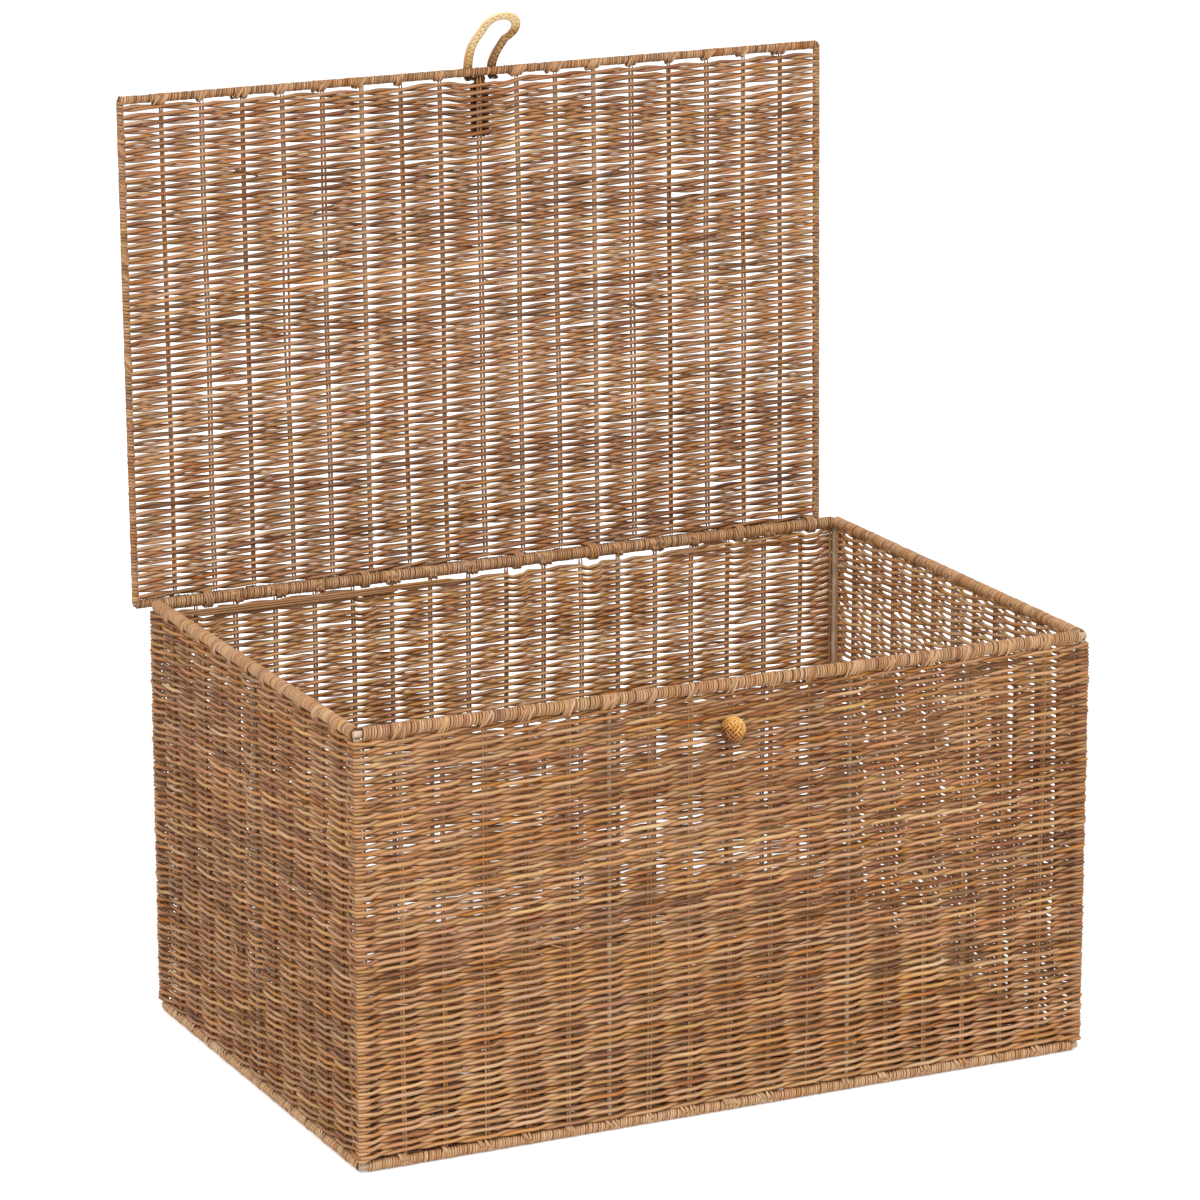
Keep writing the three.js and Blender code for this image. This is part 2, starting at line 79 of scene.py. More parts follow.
# Weave
ROW_PITCH = 6.42 * MM
FRONT_STRAND_RADIUS = 1.66 * MM
WALL_STRAND_RADIUS = 1.61 * MM
LID_STRAND_RADIUS = 1.63 * MM
BASE_STRAND_RADIUS = 1.3 * MM
STRAND_SIDES = 7
CANE_TONE = 0.66
# Painted shade on the lower side of each strand and along both its edges
ROW_UNDER_SHADE = 0.24
ROW_EDGE_SHADE = 0.2
# How far rows wander up and down together
WALL_WAVE = 0.9 * MM
FLAT_WAVE = 1.1 * MM
# Spreads of crossings in stake spaces, of reaches, rows and strands, and of strands' thickness
CROSSING_SPREAD = 0.09
REACH_SPREAD = 0.12 * MM
ROW_SPREAD = 0.22 * MM
STRAND_SPREAD = 0.18 * MM
SWELL_SPREAD = 0.05
THICKNESS_SPREAD = 0.06
# Spreads of tone among bands of rows, lengths of cane, patches of the panel and stakes
BAND_TONES = 0.07
LENGTH_TONES = 0.08
PATCH_TONES = 0.035
STAKE_TONES = 0.08
# Spreads of the strands' heights, tones and bulges where two walls meet
CORNER_SPREADS = (0.35 * MM, 0.09, 0.5 * MM)

# Stakes
STAKE_RADIUS = 1.15 * MM
STAKE_STEPS = 40
STAKE_TONE = 0.56
STAKE_TONE_SPREAD = 0.1
STAKE_WANDER = 0.5 * MM
STAKE_GAP_SPREAD = 0.2 * MM
# How far a stake's ends stay inside the rods' middles
STAKE_INSET = 1 * MM
ROUND_SIDES = 8
# Single canes beside the corner posts: how far off, and how far they wander
BESIDE_POST = 5.6 * MM
BESIDE_WANDER = 0.2 * MM

# Places of a strand's points between two stakes, closer together where strands cross
SPACE_SHARES = (0, 0.13, 0.25, 0.34, 0.42, 0.5, 0.58, 0.66, 0.75, 0.87)
# Twist of a weave's strands: how far off their row's middle they cross, how short the rise is, and how
# much lower a strand lies outside than inside
FLAT_TWIST = (1.65 * MM, 0.35, -0.5 * MM)
# Each wall's twist, and how much lighter than usual its cane is at its two ends: painted light and shade,
# as the light falls on that wall
WALLS = {
    "front": ((1.62 * MM, 3.2, -0.3 * MM), (0.02, -0.1)),
    "left": ((1.5 * MM, 2.6, -0.3 * MM), (-0.07, -0.05)),
    "right": ((1.75 * MM, 0.4, -1.2 * MM), (0.12, 0.14)),
    "back": ((1.65 * MM, 0.35, 0.5 * MM), (0.05, 0.05)),
}
# Painted bounce light from the floor: how much lighter the front wall's lowest row is than its highest
FOOT_BOUNCE_LIGHT = 0.09
# Share of a stake space in which strands untwist to turn round a corner post
CORNER_SHARE = 0.38
# Into how many pieces a wall's rows are divided
WALL_PARTS = 2

# Windings. The spreads are of a turn's place in pitches, its height and its tone.
TURN_PITCH = 2.4 * MM
TURN_STEPS = 16
TURN_SIDES = 6
# Painted shade along both edges of each turn, as in the grooves between turns
TURN_EDGE_SHADE = 0.24
TURN_SPREAD = 0.09
RISE_SPREAD = 0.15 * MM
TURN_TONE_SPREAD = 0.09
# How wide a knot gathers the turns beside it, and how much
KNOT_SPREAD = 4.5 * MM
KNOT_PULL = 0.4
KNOT_PLACE_SPREAD = 1.2 * MM
# Slanting turns at a knot: how many, how far apart, their slant, height and share of the drop
FAN_COUNT = (3, 7)
FAN_PITCH = (1.8 * MM, 2.4 * MM)
FAN_SLANT = (3.2 * MM, 1.0 * MM)
FAN_RISE = (0.5 * MM, 1.2 * MM)
FAN_DROP_SHARES = (0.5, 1.2)
FAN_TONE_SPREAD = 0.1
FAN_STEPS = 24
PEEL_PITCH = 4.2 * MM
PEEL_HALF_WIDTH = 2.3 * MM
PEEL_SHADE = 0.34


def srgb(colour):
    """A colour of 8-bit screen values, as the linear numbers that a shader takes."""
    shares = [value / 255 for value in colour]
    return [s / 12.92 if s <= 0.04045 else ((s + 0.055) / 1.055) ** 2.4 for s in shares] + [1.0]


# Camera

def place_camera():
    camera = bpy.data.cameras.new("camera")
    camera.sensor_width = SENSOR_WIDTH
    camera.lens = FOCAL_PIXELS * SENSOR_WIDTH / IMAGE_SIZE
    camera.shift_x = (IMAGE_SIZE / 2 - PRINCIPAL_POINT[0]) / IMAGE_SIZE
    camera.shift_y = (PRINCIPAL_POINT[1] - IMAGE_SIZE / 2) / IMAGE_SIZE
    camera.clip_end = 50
    holder = bpy.data.objects.new("camera", camera)
    bpy.context.scene.collection.objects.link(holder)
    place = Matrix.Translation(CAMERA_PLACE)
    for angle, axis in ((CAMERA_AZIMUTH, "Z"), (90 - CAMERA_ELEVATION, "X"), (CAMERA_ROLL, "Z")):
        place = place @ Matrix.Rotation(math.radians(angle), 4, axis)
    holder.matrix_world = place
    bpy.context.scene.camera = holder


place_camera()


# Strands as meshes

# Size of a strand's end rings, as a share of the strand's
END_SHARE = 0.03
UV_MARGIN = 0.05
# How far apart strands may lie in the cane's pattern
PATTERN_RANGE = 40


def unit(vectors):
    return vectors / np.linalg.norm(vectors, axis=-1, keepdims=True)


def run_along(points):
    """How far along its line each point is."""
    run = np.linalg.norm(np.diff(points, axis=-2), axis=-1).cumsum(-1)
    return np.concatenate([np.zeros_like(run[..., :1]), run], -1)


class Piece:
    """Gathers round and flat strands, and makes one mesh object of them."""

    def __init__(self):
        self.parts = []
        self.strands = 0
        self.count = 0

    def add(self, centres, hint, wide, thick, sides, tone, under=0.0, edges=0.0):
        """Adds strands, whose centres have the shape (strands, steps, 3).

        hint points along the width, and wide and thick are half sizes. under is painted shade on the side
        away from the hint, and edges is painted shade along both edges of the width.
        """
        centres = np.asarray(centres, float)
        strands, steps, _ = centres.shape
        ahead = unit(np.gradient(centres, axis=1))
        hint = np.broadcast_to(hint, centres.shape)
        across = unit(hint - (hint * ahead).sum(-1, keepdims=True) * ahead)
        over = np.cross(ahead, across)
        end = np.ones(steps)
        end[[0, -1]] = END_SHARE
        wide = np.broadcast_to(wide, (strands, steps)) * end
        thick = np.broadcast_to(thick, (strands, steps)) * end
        angle = 2 * np.pi * np.arange(sides) / sides
        ring = (
            centres[:, :, None]
            + np.cos(angle)[:, None] * (wide[..., None] * across)[:, :, None]
            + np.sin(angle)[:, None] * (thick[..., None] * over)[:, :, None]
        )
        index = self.count + np.arange(strands * steps * sides).reshape(strands, steps, sides)
        turned = np.roll(index, -1, axis=2)
        quads = np.stack([index[:, :-1], turned[:, :-1], turned[:, 1:], index[:, 1:]], -1)
        run = run_along(centres)
        share = run / run[:, -1:]
        low = share[:, :-1, None, None]
        high = share[:, 1:, None, None]
        row = (self.strands + np.arange(strands))[:, None, None, None]
        used = 1 - 2 * UV_MARGIN
        near = row + UV_MARGIN + used * np.arange(sides)[None, None, :, None] / sides
        far = near + used / sides
        edges_of_quads = np.broadcast_arrays(low, low, high, high, near, far, far, near)
        places = np.stack([np.concatenate(edges_of_quads[i:i + 4], -1) for i in (0, 4)], -1)
        tone = np.broadcast_to(tone, (strands, steps))
        lot = rng.uniform(0, PATTERN_RANGE, (strands, 1, 1))
        cane = np.stack(np.broadcast_arrays(run[..., None] + lot, np.cos(angle), lot), -1)
        # Painted shade: darker on the side away from the hint and along both edges
        shade = under * (np.cos(angle) - 1) / 2 - edges * np.cos(angle) ** 2
        tones = (tone.reshape(-1, 1) + shade).ravel()
        kinds = (ring, 3), (quads, 4), (places, 2), (cane, 3)
        self.parts.append([tones, *(values.reshape(-1, size) for values, size in kinds)])
        self.strands += strands
        self.count += strands * steps * sides

    def build(self, name, body, slot, material, *replaced):
        tones, points, quads, places, canes = (np.concatenate(part) for part in zip(*self.parts))
        places[:, 1] /= self.strands
        mesh = bpy.data.meshes.new(name)
        mesh.vertices.add(len(points))
        mesh.vertices.foreach_set("co", points.astype(np.float32).ravel())
        mesh.loops.add(quads.size)
        mesh.loops.foreach_set("vertex_index", quads.astype(np.int32).ravel())
        mesh.polygons.add(len(quads))
        mesh.polygons.foreach_set("loop_start", np.arange(0, quads.size, 4, dtype=np.int32))
        mesh.polygons.foreach_set("use_smooth", np.ones(len(quads), bool))
        mesh.update(calc_edges=True)
        layer = mesh.uv_layers.new(name="OFBake")
        layer.data.foreach_set("uv", places.astype(np.float32).ravel())
        tone = mesh.attributes.new("tone", "FLOAT", "POINT")
        tone.data.foreach_set("value", tones.astype(np.float32))
        cane = mesh.attributes.new("cane", "FLOAT_VECTOR", "POINT")
        cane.data.foreach_set("vector", canes.astype(np.float32).ravel())
        mesh.materials.append(material)
        made = bpy.data.objects.new(name, mesh)
        bpy.context.scene.collection.objects.link(made)
        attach(made, body)
        if replaced:
            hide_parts(*replaced)


# Materials

# Places of a cane's five colours from dark to light
CANE_PLACES = (0.0, 0.3, 0.55, 0.8, 1.0)
METAL_PLACES = (0.3, 0.5, 0.7)
# Scales of patterns along a strand, round it and from strand to strand, and their detail
SLOW_NOISE = ((14, 0.4, 1), 2)
STREAK_NOISE = ((60, 2.6, 1), 4)
FIBRE_NOISE = ((220, 9, 1), 3)
HUE_NOISE = ((3, 0.2, 2.3), 1)
SATURATION_NOISE = ((5, 0.2, 1.3), 1)
PATCH_NOISE = ((90, 90, 90), 5)
GRAIN_NOISE = ((900, 900, 900), 3)
NOISE_ROUGHNESS = 0.6
STREAK_TONES = 0.5
# Values of the slow pattern between which cane goes from plain to warm
WARM_ENDS = (0.38, 0.66)
# Values of a noise that stand for the two ends of hue and saturation
NOISE_ENDS = (0.25, 0.75)
HUE_RANGE = (0.489, 0.511)
SATURATION_RANGE = (0.86, 1.14)
ROUGHNESS_SPREAD = 0.12
METAL_ROUGHNESS = (0.4, 0.65)
METALLIC = 0.25


def new_material(name):
    material = bpy.data.materials.new(name)
    material.use_nodes = True
    return material, material.node_tree


def fill(tree, node, inputs):
    """Sets inputs by name or number, each to a value or to another node's output."""
    for key, value in inputs.items():
        if isinstance(value, bpy.types.NodeSocket):
            tree.links.new(value, node.inputs[key])
        else:
            node.inputs[key].default_value = value


def new_node(tree, kind, inputs=None, **settings):
    """A new node, by the name of its kind without the prefix that all share."""
    node = tree.nodes.new(f"ShaderNode{kind}")
    for key, setting in settings.items():
        setattr(node, key, setting)
    fill(tree, node, inputs or {})
    return node


def ramp(tree, value, places, colours):
    """A colour ramp over a value, with each colour as 8-bit screen values."""
    node = new_node(tree, "ValToRGB", {"Fac": value})
    elements = node.color_ramp.elements
    while len(elements) < len(places):
        elements.new(0.5)
    for element, place, colour in zip(elements, places, colours):
        element.position = place
        element.color = srgb(colour)
    return node.outputs["Color"]


def noise(tree, vector, scale, detail):
    place = new_node(tree, "Mapping", {"Vector": vector, "Scale": scale}).outputs["Vector"]
    inputs = {"Vector": place, "Scale": 1.0, "Detail": detail, "Roughness": NOISE_ROUGHNESS}
    return new_node(tree, "TexNoise", inputs).outputs["Fac"]


def maths(tree, operation, *values, clamp=False):
    inputs = dict(enumerate(values))
    return new_node(tree, "Math", inputs, operation=operation, use_clamp=clamp).outputs["Value"]


def mapped(tree, value, low, high, first=0.0, last=1.0):
    """A value's way from first to last, as one from low to high."""
    inputs = {"Value": value, "From Min": first, "From Max": last, "To Min": low, "To Max": high}
    return new_node(tree, "MapRange", inputs).outputs["Result"]


def bump(tree, height, strength, distance):
    inputs = {"Height": height, "Strength": strength, "Distance": distance}
    return new_node(tree, "Bump", inputs).outputs["Normal"]


def cane_material(name, plain, warm, roughness, gloss=0.35):
    """Cane, with two lists of colours that are blended by a slow pattern along each strand."""
    material, tree = new_material(name)
    tone = new_node(tree, "Attribute", attribute_name="tone").outputs["Fac"]
    place = new_node(tree, "Attribute", attribute_name="cane").outputs["Vector"]
    slow, streaks, fibres, hues, saturations = (
        noise(tree, place, *pattern)
        for pattern in (SLOW_NOISE, STREAK_NOISE, FIBRE_NOISE, HUE_NOISE, SATURATION_NOISE)
    )
    level = maths(tree, "MULTIPLY_ADD", streaks, STREAK_TONES, -STREAK_TONES / 2)
    level = maths(tree, "ADD", level, tone, clamp=True)
    mix = new_node(tree, "Mix", data_type="RGBA")
    fill(tree, mix, {
        "Factor": mapped(tree, slow, 0.0, 1.0, *WARM_ENDS),
        "A": ramp(tree, level, CANE_PLACES, plain),
        "B": ramp(tree, level, CANE_PLACES, warm),
    })
    tint = new_node(tree, "HueSaturation", {
        "Color": mix.outputs["Result"],
        "Hue": mapped(tree, hues, *HUE_RANGE, *NOISE_ENDS),
        "Saturation": mapped(tree, saturations, *SATURATION_RANGE, *NOISE_ENDS),
    })
    fill(tree, tree.nodes["Principled BSDF"], {
        "Base Color": tint.outputs["Color"],
        "Roughness": mapped(tree, streaks, roughness - ROUGHNESS_SPREAD, roughness + ROUGHNESS_SPREAD),
        "Specular IOR Level": gloss,
        "Normal": bump(tree, fibres, 0.35, 0.3 * MM),
    })
    return material


def metal_material():
    material, tree = new_material("frame_metal")
    place = new_node(tree, "TexCoord").outputs["Object"]
    patches = noise(tree, place, *PATCH_NOISE)
    colours = [(160, 130, 102), (192, 164, 136), (212, 192, 166)]
    fill(tree, tree.nodes["Principled BSDF"], {
        "Base Color": ramp(tree, patches, METAL_PLACES, colours),
        "Roughness": mapped(tree, patches, *METAL_ROUGHNESS),
        "Metallic": METALLIC,
        "Normal": bump(tree, noise(tree, place, *GRAIN_NOISE), 0.2, 0.1 * MM),
    })
    return material


WALL_CANE = cane_material(
    "wall_cane",
    [(70, 40, 23), (138, 96, 61), (184, 141, 98), (213, 175, 128), (232, 202, 157)],
    [(66, 33, 17), (134, 81, 44), (181, 124, 75), (207, 154, 101), (223, 180, 131)],
    0.55,
)
LID_CANE = cane_material(
    "lid_cane",
    [(66, 38, 22), (128, 90, 60), (170, 129, 92), (198, 159, 118), (218, 186, 146)],
    [(64, 32, 17), (130, 79, 46), (175, 119, 74), (197, 143, 95), (211, 167, 119)],
    0.55,
)
RIM_CANE = cane_material(
    "rim_cane",
    [(80, 50, 31), (152, 110, 74), (194, 153, 112), (217, 183, 143), (234, 208, 171)],
    [(74, 42, 24), (146, 97, 60), (188, 140, 96), (211, 168, 124), (227, 193, 152)],
    0.52,
)
STRAP_CANE = cane_material(
    "strap_cane",
    [(66, 40, 22), (156, 112, 66), (206, 166, 112), (234, 203, 150), (250, 228, 184)],
    [(62, 34, 18), (150, 96, 48), (200, 147, 86), (230, 188, 126), (246, 214, 160)],
    0.34, gloss=0.5,
)
KNOB_CANE = cane_material(
    "knob_cane",
    [(84, 42, 12), (160, 98, 34), (208, 150, 68), (232, 186, 102), (246, 214, 142)],
    [(80, 36, 10), (158, 88, 26), (206, 140, 56), (230, 174, 84), (244, 204, 126)],
    0.36, gloss=0.5,
)
METAL = metal_material()

# Body, slot and material of the pieces of the walls and of the lid's mat
WALL_LOOK = ("box", "wall_cane", WALL_CANE)
LID_LOOK = ("lid", "lid_cane", LID_CANE)

for name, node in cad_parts.items():
    if "rod" in name or "post" in name or "upright" in name or "bar" in name:
        node.data.materials.clear()
        node.data.materials.append(METAL)


# The frame's places

def middle(node):
    low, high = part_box(node)
    return np.array((low + high) / 2)


def half_size(node):
    low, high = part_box(node)
    return (high - low) / 2


X_AXIS, Y_AXIS, Z_AXIS = np.eye(3)
HALF_WIDTH, HALF_DEPTH, _ = middle("corner_post_back_right")
WIDTH = 2 * HALF_WIDTH
DEPTH = 2 * HALF_DEPTH
RIM_Z = middle("rim_rod_front")[2]
BASE_Z = middle("base_rod_front")[2]
ROD_RADIUS = half_size("rim_rod_front").z
UPRIGHT_RADIUS = half_size("upright_left").x
PANEL_BOTTOM, PANEL_TOP = (corner.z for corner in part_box("weave_front"))

LID_BACK = middle("lid_rod_back")
LID_FRONT = middle("lid_rod_front")
LID_UP = unit(LID_FRONT - LID_BACK)
LID_IN = np.cross(X_AXIS, LID_UP)
LID_DEPTH = np.linalg.norm(LID_FRONT - LID_BACK)
LID_ROD_RADIUS = half_size("lid_rod_front").z

# How far right of the lid's middle the loop's legs stand
LEG_SHIFT = 4 * MM
LOOP_X = LID_FRONT[0] + LEG_SHIFT


# Random but smooth values

RIPPLE_COUNT = 7
RIPPLE_ALONG = (0.3, 1.6)
RIPPLE_UP = (-1.4, 1.4)
# Partings: stake spaces times rows for each, and their ranges of length, height and size
PARTING_AREA = 34
PARTING_LONG = (0.3, 1.0)
PARTING_TALL = (1.5, 4.5)
PARTING_SIZE = (-0.6 * MM, 1.3 * MM)


def eased(share):
    share = np.clip(share, 0, 1)
    return share * share * (3 - 2 * share)


def between_stakes(spread, rows, spaces, k):
    """Random values at each row's stakes, eased from one stake to the next."""
    values = rng.normal(0, spread, (rows, spaces + 2))
    low = np.floor(k).astype(int)
    share = eased(k - low)
    return values[:, low] * (1 - share) + values[:, low + 1] * share


def ripples(rows, k, long, tall):
    """Smooth ups and downs, about -1 to 1, over k stake spaces and rows, with waves about that long."""
    total = np.zeros((rows, len(k)))
    row = np.arange(rows)[:, None]
    for _ in range(RIPPLE_COUNT):
        along = rng.uniform(*RIPPLE_ALONG) / long
        up = rng.uniform(*RIPPLE_UP) / tall
        total += np.sin(2 * np.pi * (along * k + up * row) + rng.uniform(0, 2 * np.pi))
    return total / math.sqrt(RIPPLE_COUNT)


def partings(rows, k, spaces):
    """How far rows move where they part or crowd together."""
    row = np.arange(rows)[:, None]
    total = np.zeros((rows, len(k)))
    for _ in range(rows * spaces // PARTING_AREA):
        level = rng.integers(1, rows - 2) + 0.5
        centre = rng.uniform(0.5, spaces - 0.5)
        long = rng.uniform(*PARTING_LONG)
        tall = rng.uniform(*PARTING_TALL)
        size = rng.uniform(*PARTING_SIZE)
        away = row - level
        total += size * np.sign(away) * np.exp(-np.abs(away) / tall - ((k - centre) / long) ** 2)
    return total


def strand_tones(rows, k, spaces):
    """How light each strand is: bands of rows, lengths of cane, and slow changes."""
    bands = np.convolve(rng.normal(0, 1, rows + 4), np.ones(5) / 5, "valid")[:, None] * BAND_TONES
    lengths = np.zeros((rows, len(k)))
    for row in range(rows):
        cuts = np.sort(rng.uniform(0, spaces, rng.integers(1, 5)))
        levels = rng.normal(0, LENGTH_TONES, len(cuts) + 1)
        lengths[row] = levels[np.searchsorted(cuts, k)]
    patches = PATCH_TONES * ripples(rows, k, 7, 18)
    return CANE_TONE + bands + lengths + patches + between_stakes(STAKE_TONES, rows, spaces, k)


# Twined weave

def samples(spaces, pitch, ends):
    """Places of a strand's points in stake spaces. ends are the places near each side, as lengths."""
    k = np.concatenate([n + np.array(SPACE_SHARES) for n in range(spaces)])
    near = ends / pitch
    inner = k[(k > near[-1] + 0.05) & (k < spaces - near[-1] - 0.05)]
    return np.concatenate([near, inner, spaces - near[::-1]])


def twined(k, spaces, heights, reach, strand_radius, wave, twist, free=1.0):
    """Two strands a row that cross midway between stakes.

    reach is how far a strand stands off the wall's middle at each stake, and free is the share
    of random shifts. Returns for both strands how far out and how high each point is, with its
    radius and tone.
    """
    climb, sharpness, stagger = twist
    rows = len(heights)
    k = np.clip(k, 0, spaces)
    low = np.minimum(np.floor(k).astype(int), spaces - 1)
    sway = rng.normal(0, CROSSING_SPREAD, (rows, spaces))[:, low] * np.sin(np.pi * (k - low)) ** 2
    phase = np.pi * (k + sway)
    rise = np.sin(phase)
    cross = rise * np.abs(rise) ** sharpness

    def varied(spread):
        return between_stakes(spread, rows, spaces, k)

    stand = np.interp(k, np.arange(spaces + 1), reach) + varied(REACH_SPREAD)
    drift = wave * ripples(rows, k, 12, 16) + partings(rows, k, spaces) + varied(ROW_SPREAD)
    result = []
    for side in (1, -1):
        out = side * stand * np.cos(phase)
        wobble = varied(STRAND_SPREAD)
        lift = side * (climb * cross - stagger * np.cos(phase))
        up = heights[:, None] + (drift + wobble) * free + lift
        radius = strand_radius * (1 + varied(SWELL_SPREAD))
        radius = radius * rng.normal(1, THICKNESS_SPREAD, (rows, 1))
        result.append((out, up, radius, strand_tones(rows, k, spaces)))
    return result


def stake_reaches(spaces, ends, upright, strand_radius):
    """How far strands stand off the wall's middle at each stake."""
    reach = np.full(spaces + 1, STAKE_RADIUS + strand_radius)
    reach[SPACES_PER_BAY:spaces:SPACES_PER_BAY] = upright + strand_radius
    reach[[0, -1]] = ends
    return reach


def wall_points(start, along, length, run, out, up):
    """Points of a wall's strands, which turn round the corner posts and end beyond the diagonal."""
    outward = np.cross(along, Z_AXIS)
    bend = 7 * MM
    post_reach = 5.5 * MM
    angle = np.pi / 4 * (eased(1 - (length - run) / bend) - eased(1 - run / bend))
    inside = np.clip(run, 0, length)
    angle = angle + (run - inside) / post_reach
    way = np.cos(angle)[:, None] * outward + np.sin(angle)[:, None] * along
    points = start + inside[:, None] * along + out[..., None] * way
    points[..., 2] = up
    return points


ROW_COUNT = round((PANEL_TOP - PANEL_BOTTOM) / ROW_PITCH)
ROW_HEIGHTS = PANEL_BOTTOM + (np.arange(ROW_COUNT) + 0.5) * (PANEL_TOP - PANEL_BOTTOM) / ROW_COUNT
CORNER_STEPS = np.array([-1.4, -0.7, 0, 0.9, 1.8, 2.7, 3.8, 5, 6.6, 8.4]) * MM
# How far the hinge ties push the back wall's last rows down, and how far to the side
TIE_DIP = 2.9 * MM
TIE_REACH = 6 * MM
TIE_PLACES = [middle(f"hinge_tie_{number}")[0] for number in range(1, 7)]
# Where the back wall's last rows hang lowest, how far, and how far to the side
SAG_X = 0.1 * HALF_WIDTH
SAG_DIP = 4.4 * MM
SAG_REACH = 100 * MM


def dip(x, rows, places, reach, depth):
    """How far rows hang lower at x because of the places near it, most of all the last row."""
    near = sum(eased(2 - np.abs(x - place) / reach) for place in places)
    return depth * (np.arange(rows) / (rows - 1))[:, None] ** 6 * near


def corner_draw():
    """Heights, tones and bulges that two walls share where they meet."""
    height_spread, tone_spread, bulge_spread = CORNER_SPREADS
    heights = rng.normal(0, height_spread, (ROW_COUNT, 1))
    tones = CANE_TONE + rng.normal(0, tone_spread, (2, ROW_COUNT, 1))
    return heights, tones, np.abs(rng.normal(0, bulge_spread, (2, ROW_COUNT, 1)))


def wall(side, start, along, spaces, length, corners):
    """A wall of the box. corners are what it shares with the walls at its start and end."""
    pitch = length / spaces
    k = samples(spaces, pitch, CORNER_STEPS)
    strand_radius = FRONT_STRAND_RADIUS if side == "front" else WALL_STRAND_RADIUS
    ends = ROD_RADIUS + strand_radius
    reach = stake_reaches(spaces, ends, UPRIGHT_RADIUS, strand_radius)
    first = 1 - eased(k / CORNER_SHARE)
    last = 1 - eased((spaces - k) / CORNER_SHARE)
    free = 1 - first - last
    twist, painted_light = WALLS[side]
    both = twined(k, spaces, ROW_HEIGHTS, reach, strand_radius, WALL_WAVE, twist, free)
    strands = []
    for number, (out, up, radius, tone) in enumerate(both):
        # Both strands pass outside the corner posts, one above the other
        level = ROW_HEIGHTS[:, None] + (0.5 - number) * ROW_PITCH / 2
        out = out * free + ends * (1 - free)
        out = out + first * corners[0][2][number] + last * corners[1][2][number]
        up = up * free + level * (1 - free) + first * corners[0][0] + last * corners[1][0]
        tone = tone * free + first * corners[0][1][number] + last * corners[1][1][number]
        # Painted light and shade: each wall's tone raised or lowered from end to end as the light falls
        # on it
        tone = tone + np.interp(k, (0, spaces), painted_light)
        # Painted bounce light from the floor, on the front wall's lowest rows
        if side == "front":
            tone = tone + FOOT_BOUNCE_LIGHT * np.linspace(1, 0, ROW_COUNT)[:, None] ** 2
        if side == "back":
            place = start[0] - k * pitch
            up = up - dip(place, ROW_COUNT, TIE_PLACES, TIE_REACH, TIE_DIP)
            up = up - dip(place, ROW_COUNT, [SAG_X], SAG_REACH, SAG_DIP)
        strands.append((wall_points(start, along, length, k * pitch, out, up), radius, tone))
    name = f"weave_{side}"
    build_rows(name, WALL_LOOK, strands, Z_AXIS, WALL_PARTS)
    beside = (BESIDE_POST, length - BESIDE_POST)
    run = (BASE_Z + STAKE_INSET, RIM_Z - STAKE_INSET)
    build_stakes(name, WALL_LOOK, start, along, Z_AXIS, pitch, spaces, run, beside=beside)


def build_rows(name, look, strands, up, parts):
    """A mat's rows as pieces, from the points, radii and tones of both strands of each row."""
    for number, part in enumerate(np.array_split(np.arange(len(strands[0][0])), parts)):
        piece = Piece()
        for points, radius, tone in strands:
            piece.add(points[part], up, radius[part], radius[part], STRAND_SIDES, tone[part],
                      ROW_UNDER_SHADE, ROW_EDGE_SHADE)
        replaced = [name] if number == 0 else []
        piece.build(f"{name}_rows_{number + 1}", *look, *replaced)


def build_stakes(name, look, start, along, up, pitch, spaces, run, spread=0.0, beside=()):
    """Pairs of canes at every stake that isn't metal, and single canes at the places beside posts.

    run is where stakes start and end, and spread is how far the two of a pair may part.
    """
    rise = np.linspace(0, 8, STAKE_STEPS)
    lines = [place + BESIDE_WANDER * ripples(1, rise, 6, 1)[0] for place in beside]
    for number in range(1, spaces):
        if number % SPACES_PER_BAY == 0:
            continue
        wander = number * pitch + STAKE_WANDER * ripples(1, rise, 6, 1)[0]
        gap = STAKE_RADIUS + abs(rng.normal(0, STAKE_GAP_SPREAD))
        gap = gap + spread * np.clip(ripples(1, rise, 9, 1)[0] - 0.8, 0, 1)
        lines += [wander - gap, wander + gap]
    heights = np.linspace(*run, STAKE_STEPS)
    centres = start + np.array(lines)[..., None] * along + heights[:, None] * up
    tone = STAKE_TONE + rng.normal(0, STAKE_TONE_SPREAD, (len(lines), 1))
    piece = Piece()
    piece.add(centres, np.cross(along, up), STAKE_RADIUS, STAKE_RADIUS, ROUND_SIDES, tone)
    piece.build(f"{name}_stakes", *look)


# The box's sides: name, start, way, stake spaces and length
SIDES = (
    ("front", np.array([-HALF_WIDTH, -HALF_DEPTH, 0]), X_AXIS, SPACES_ACROSS, WIDTH),
    ("right", np.array([HALF_WIDTH, -HALF_DEPTH, 0]), Y_AXIS, SPACES_DEEP, DEPTH),
    ("back", np.array([HALF_WIDTH, HALF_DEPTH, 0]), -X_AXIS, SPACES_ACROSS, WIDTH),
    ("left", np.array([-HALF_WIDTH, HALF_DEPTH, 0]), -Y_AXIS, SPACES_DEEP, DEPTH),
)
draws = [corner_draw() for _ in SIDES]
for number, side in enumerate(SIDES):
    wall(*side, (draws[number], draws[(number + 1) % len(SIDES)]))


# How far the lid's last rows dip under the loop, and how far to its sides
LOOP_DIP = 3.6 * MM
LOOP_REACH = 20 * MM
EDGE_STEP = 0.3 * MM
FLAT_END_REACH = 1.6 * MM


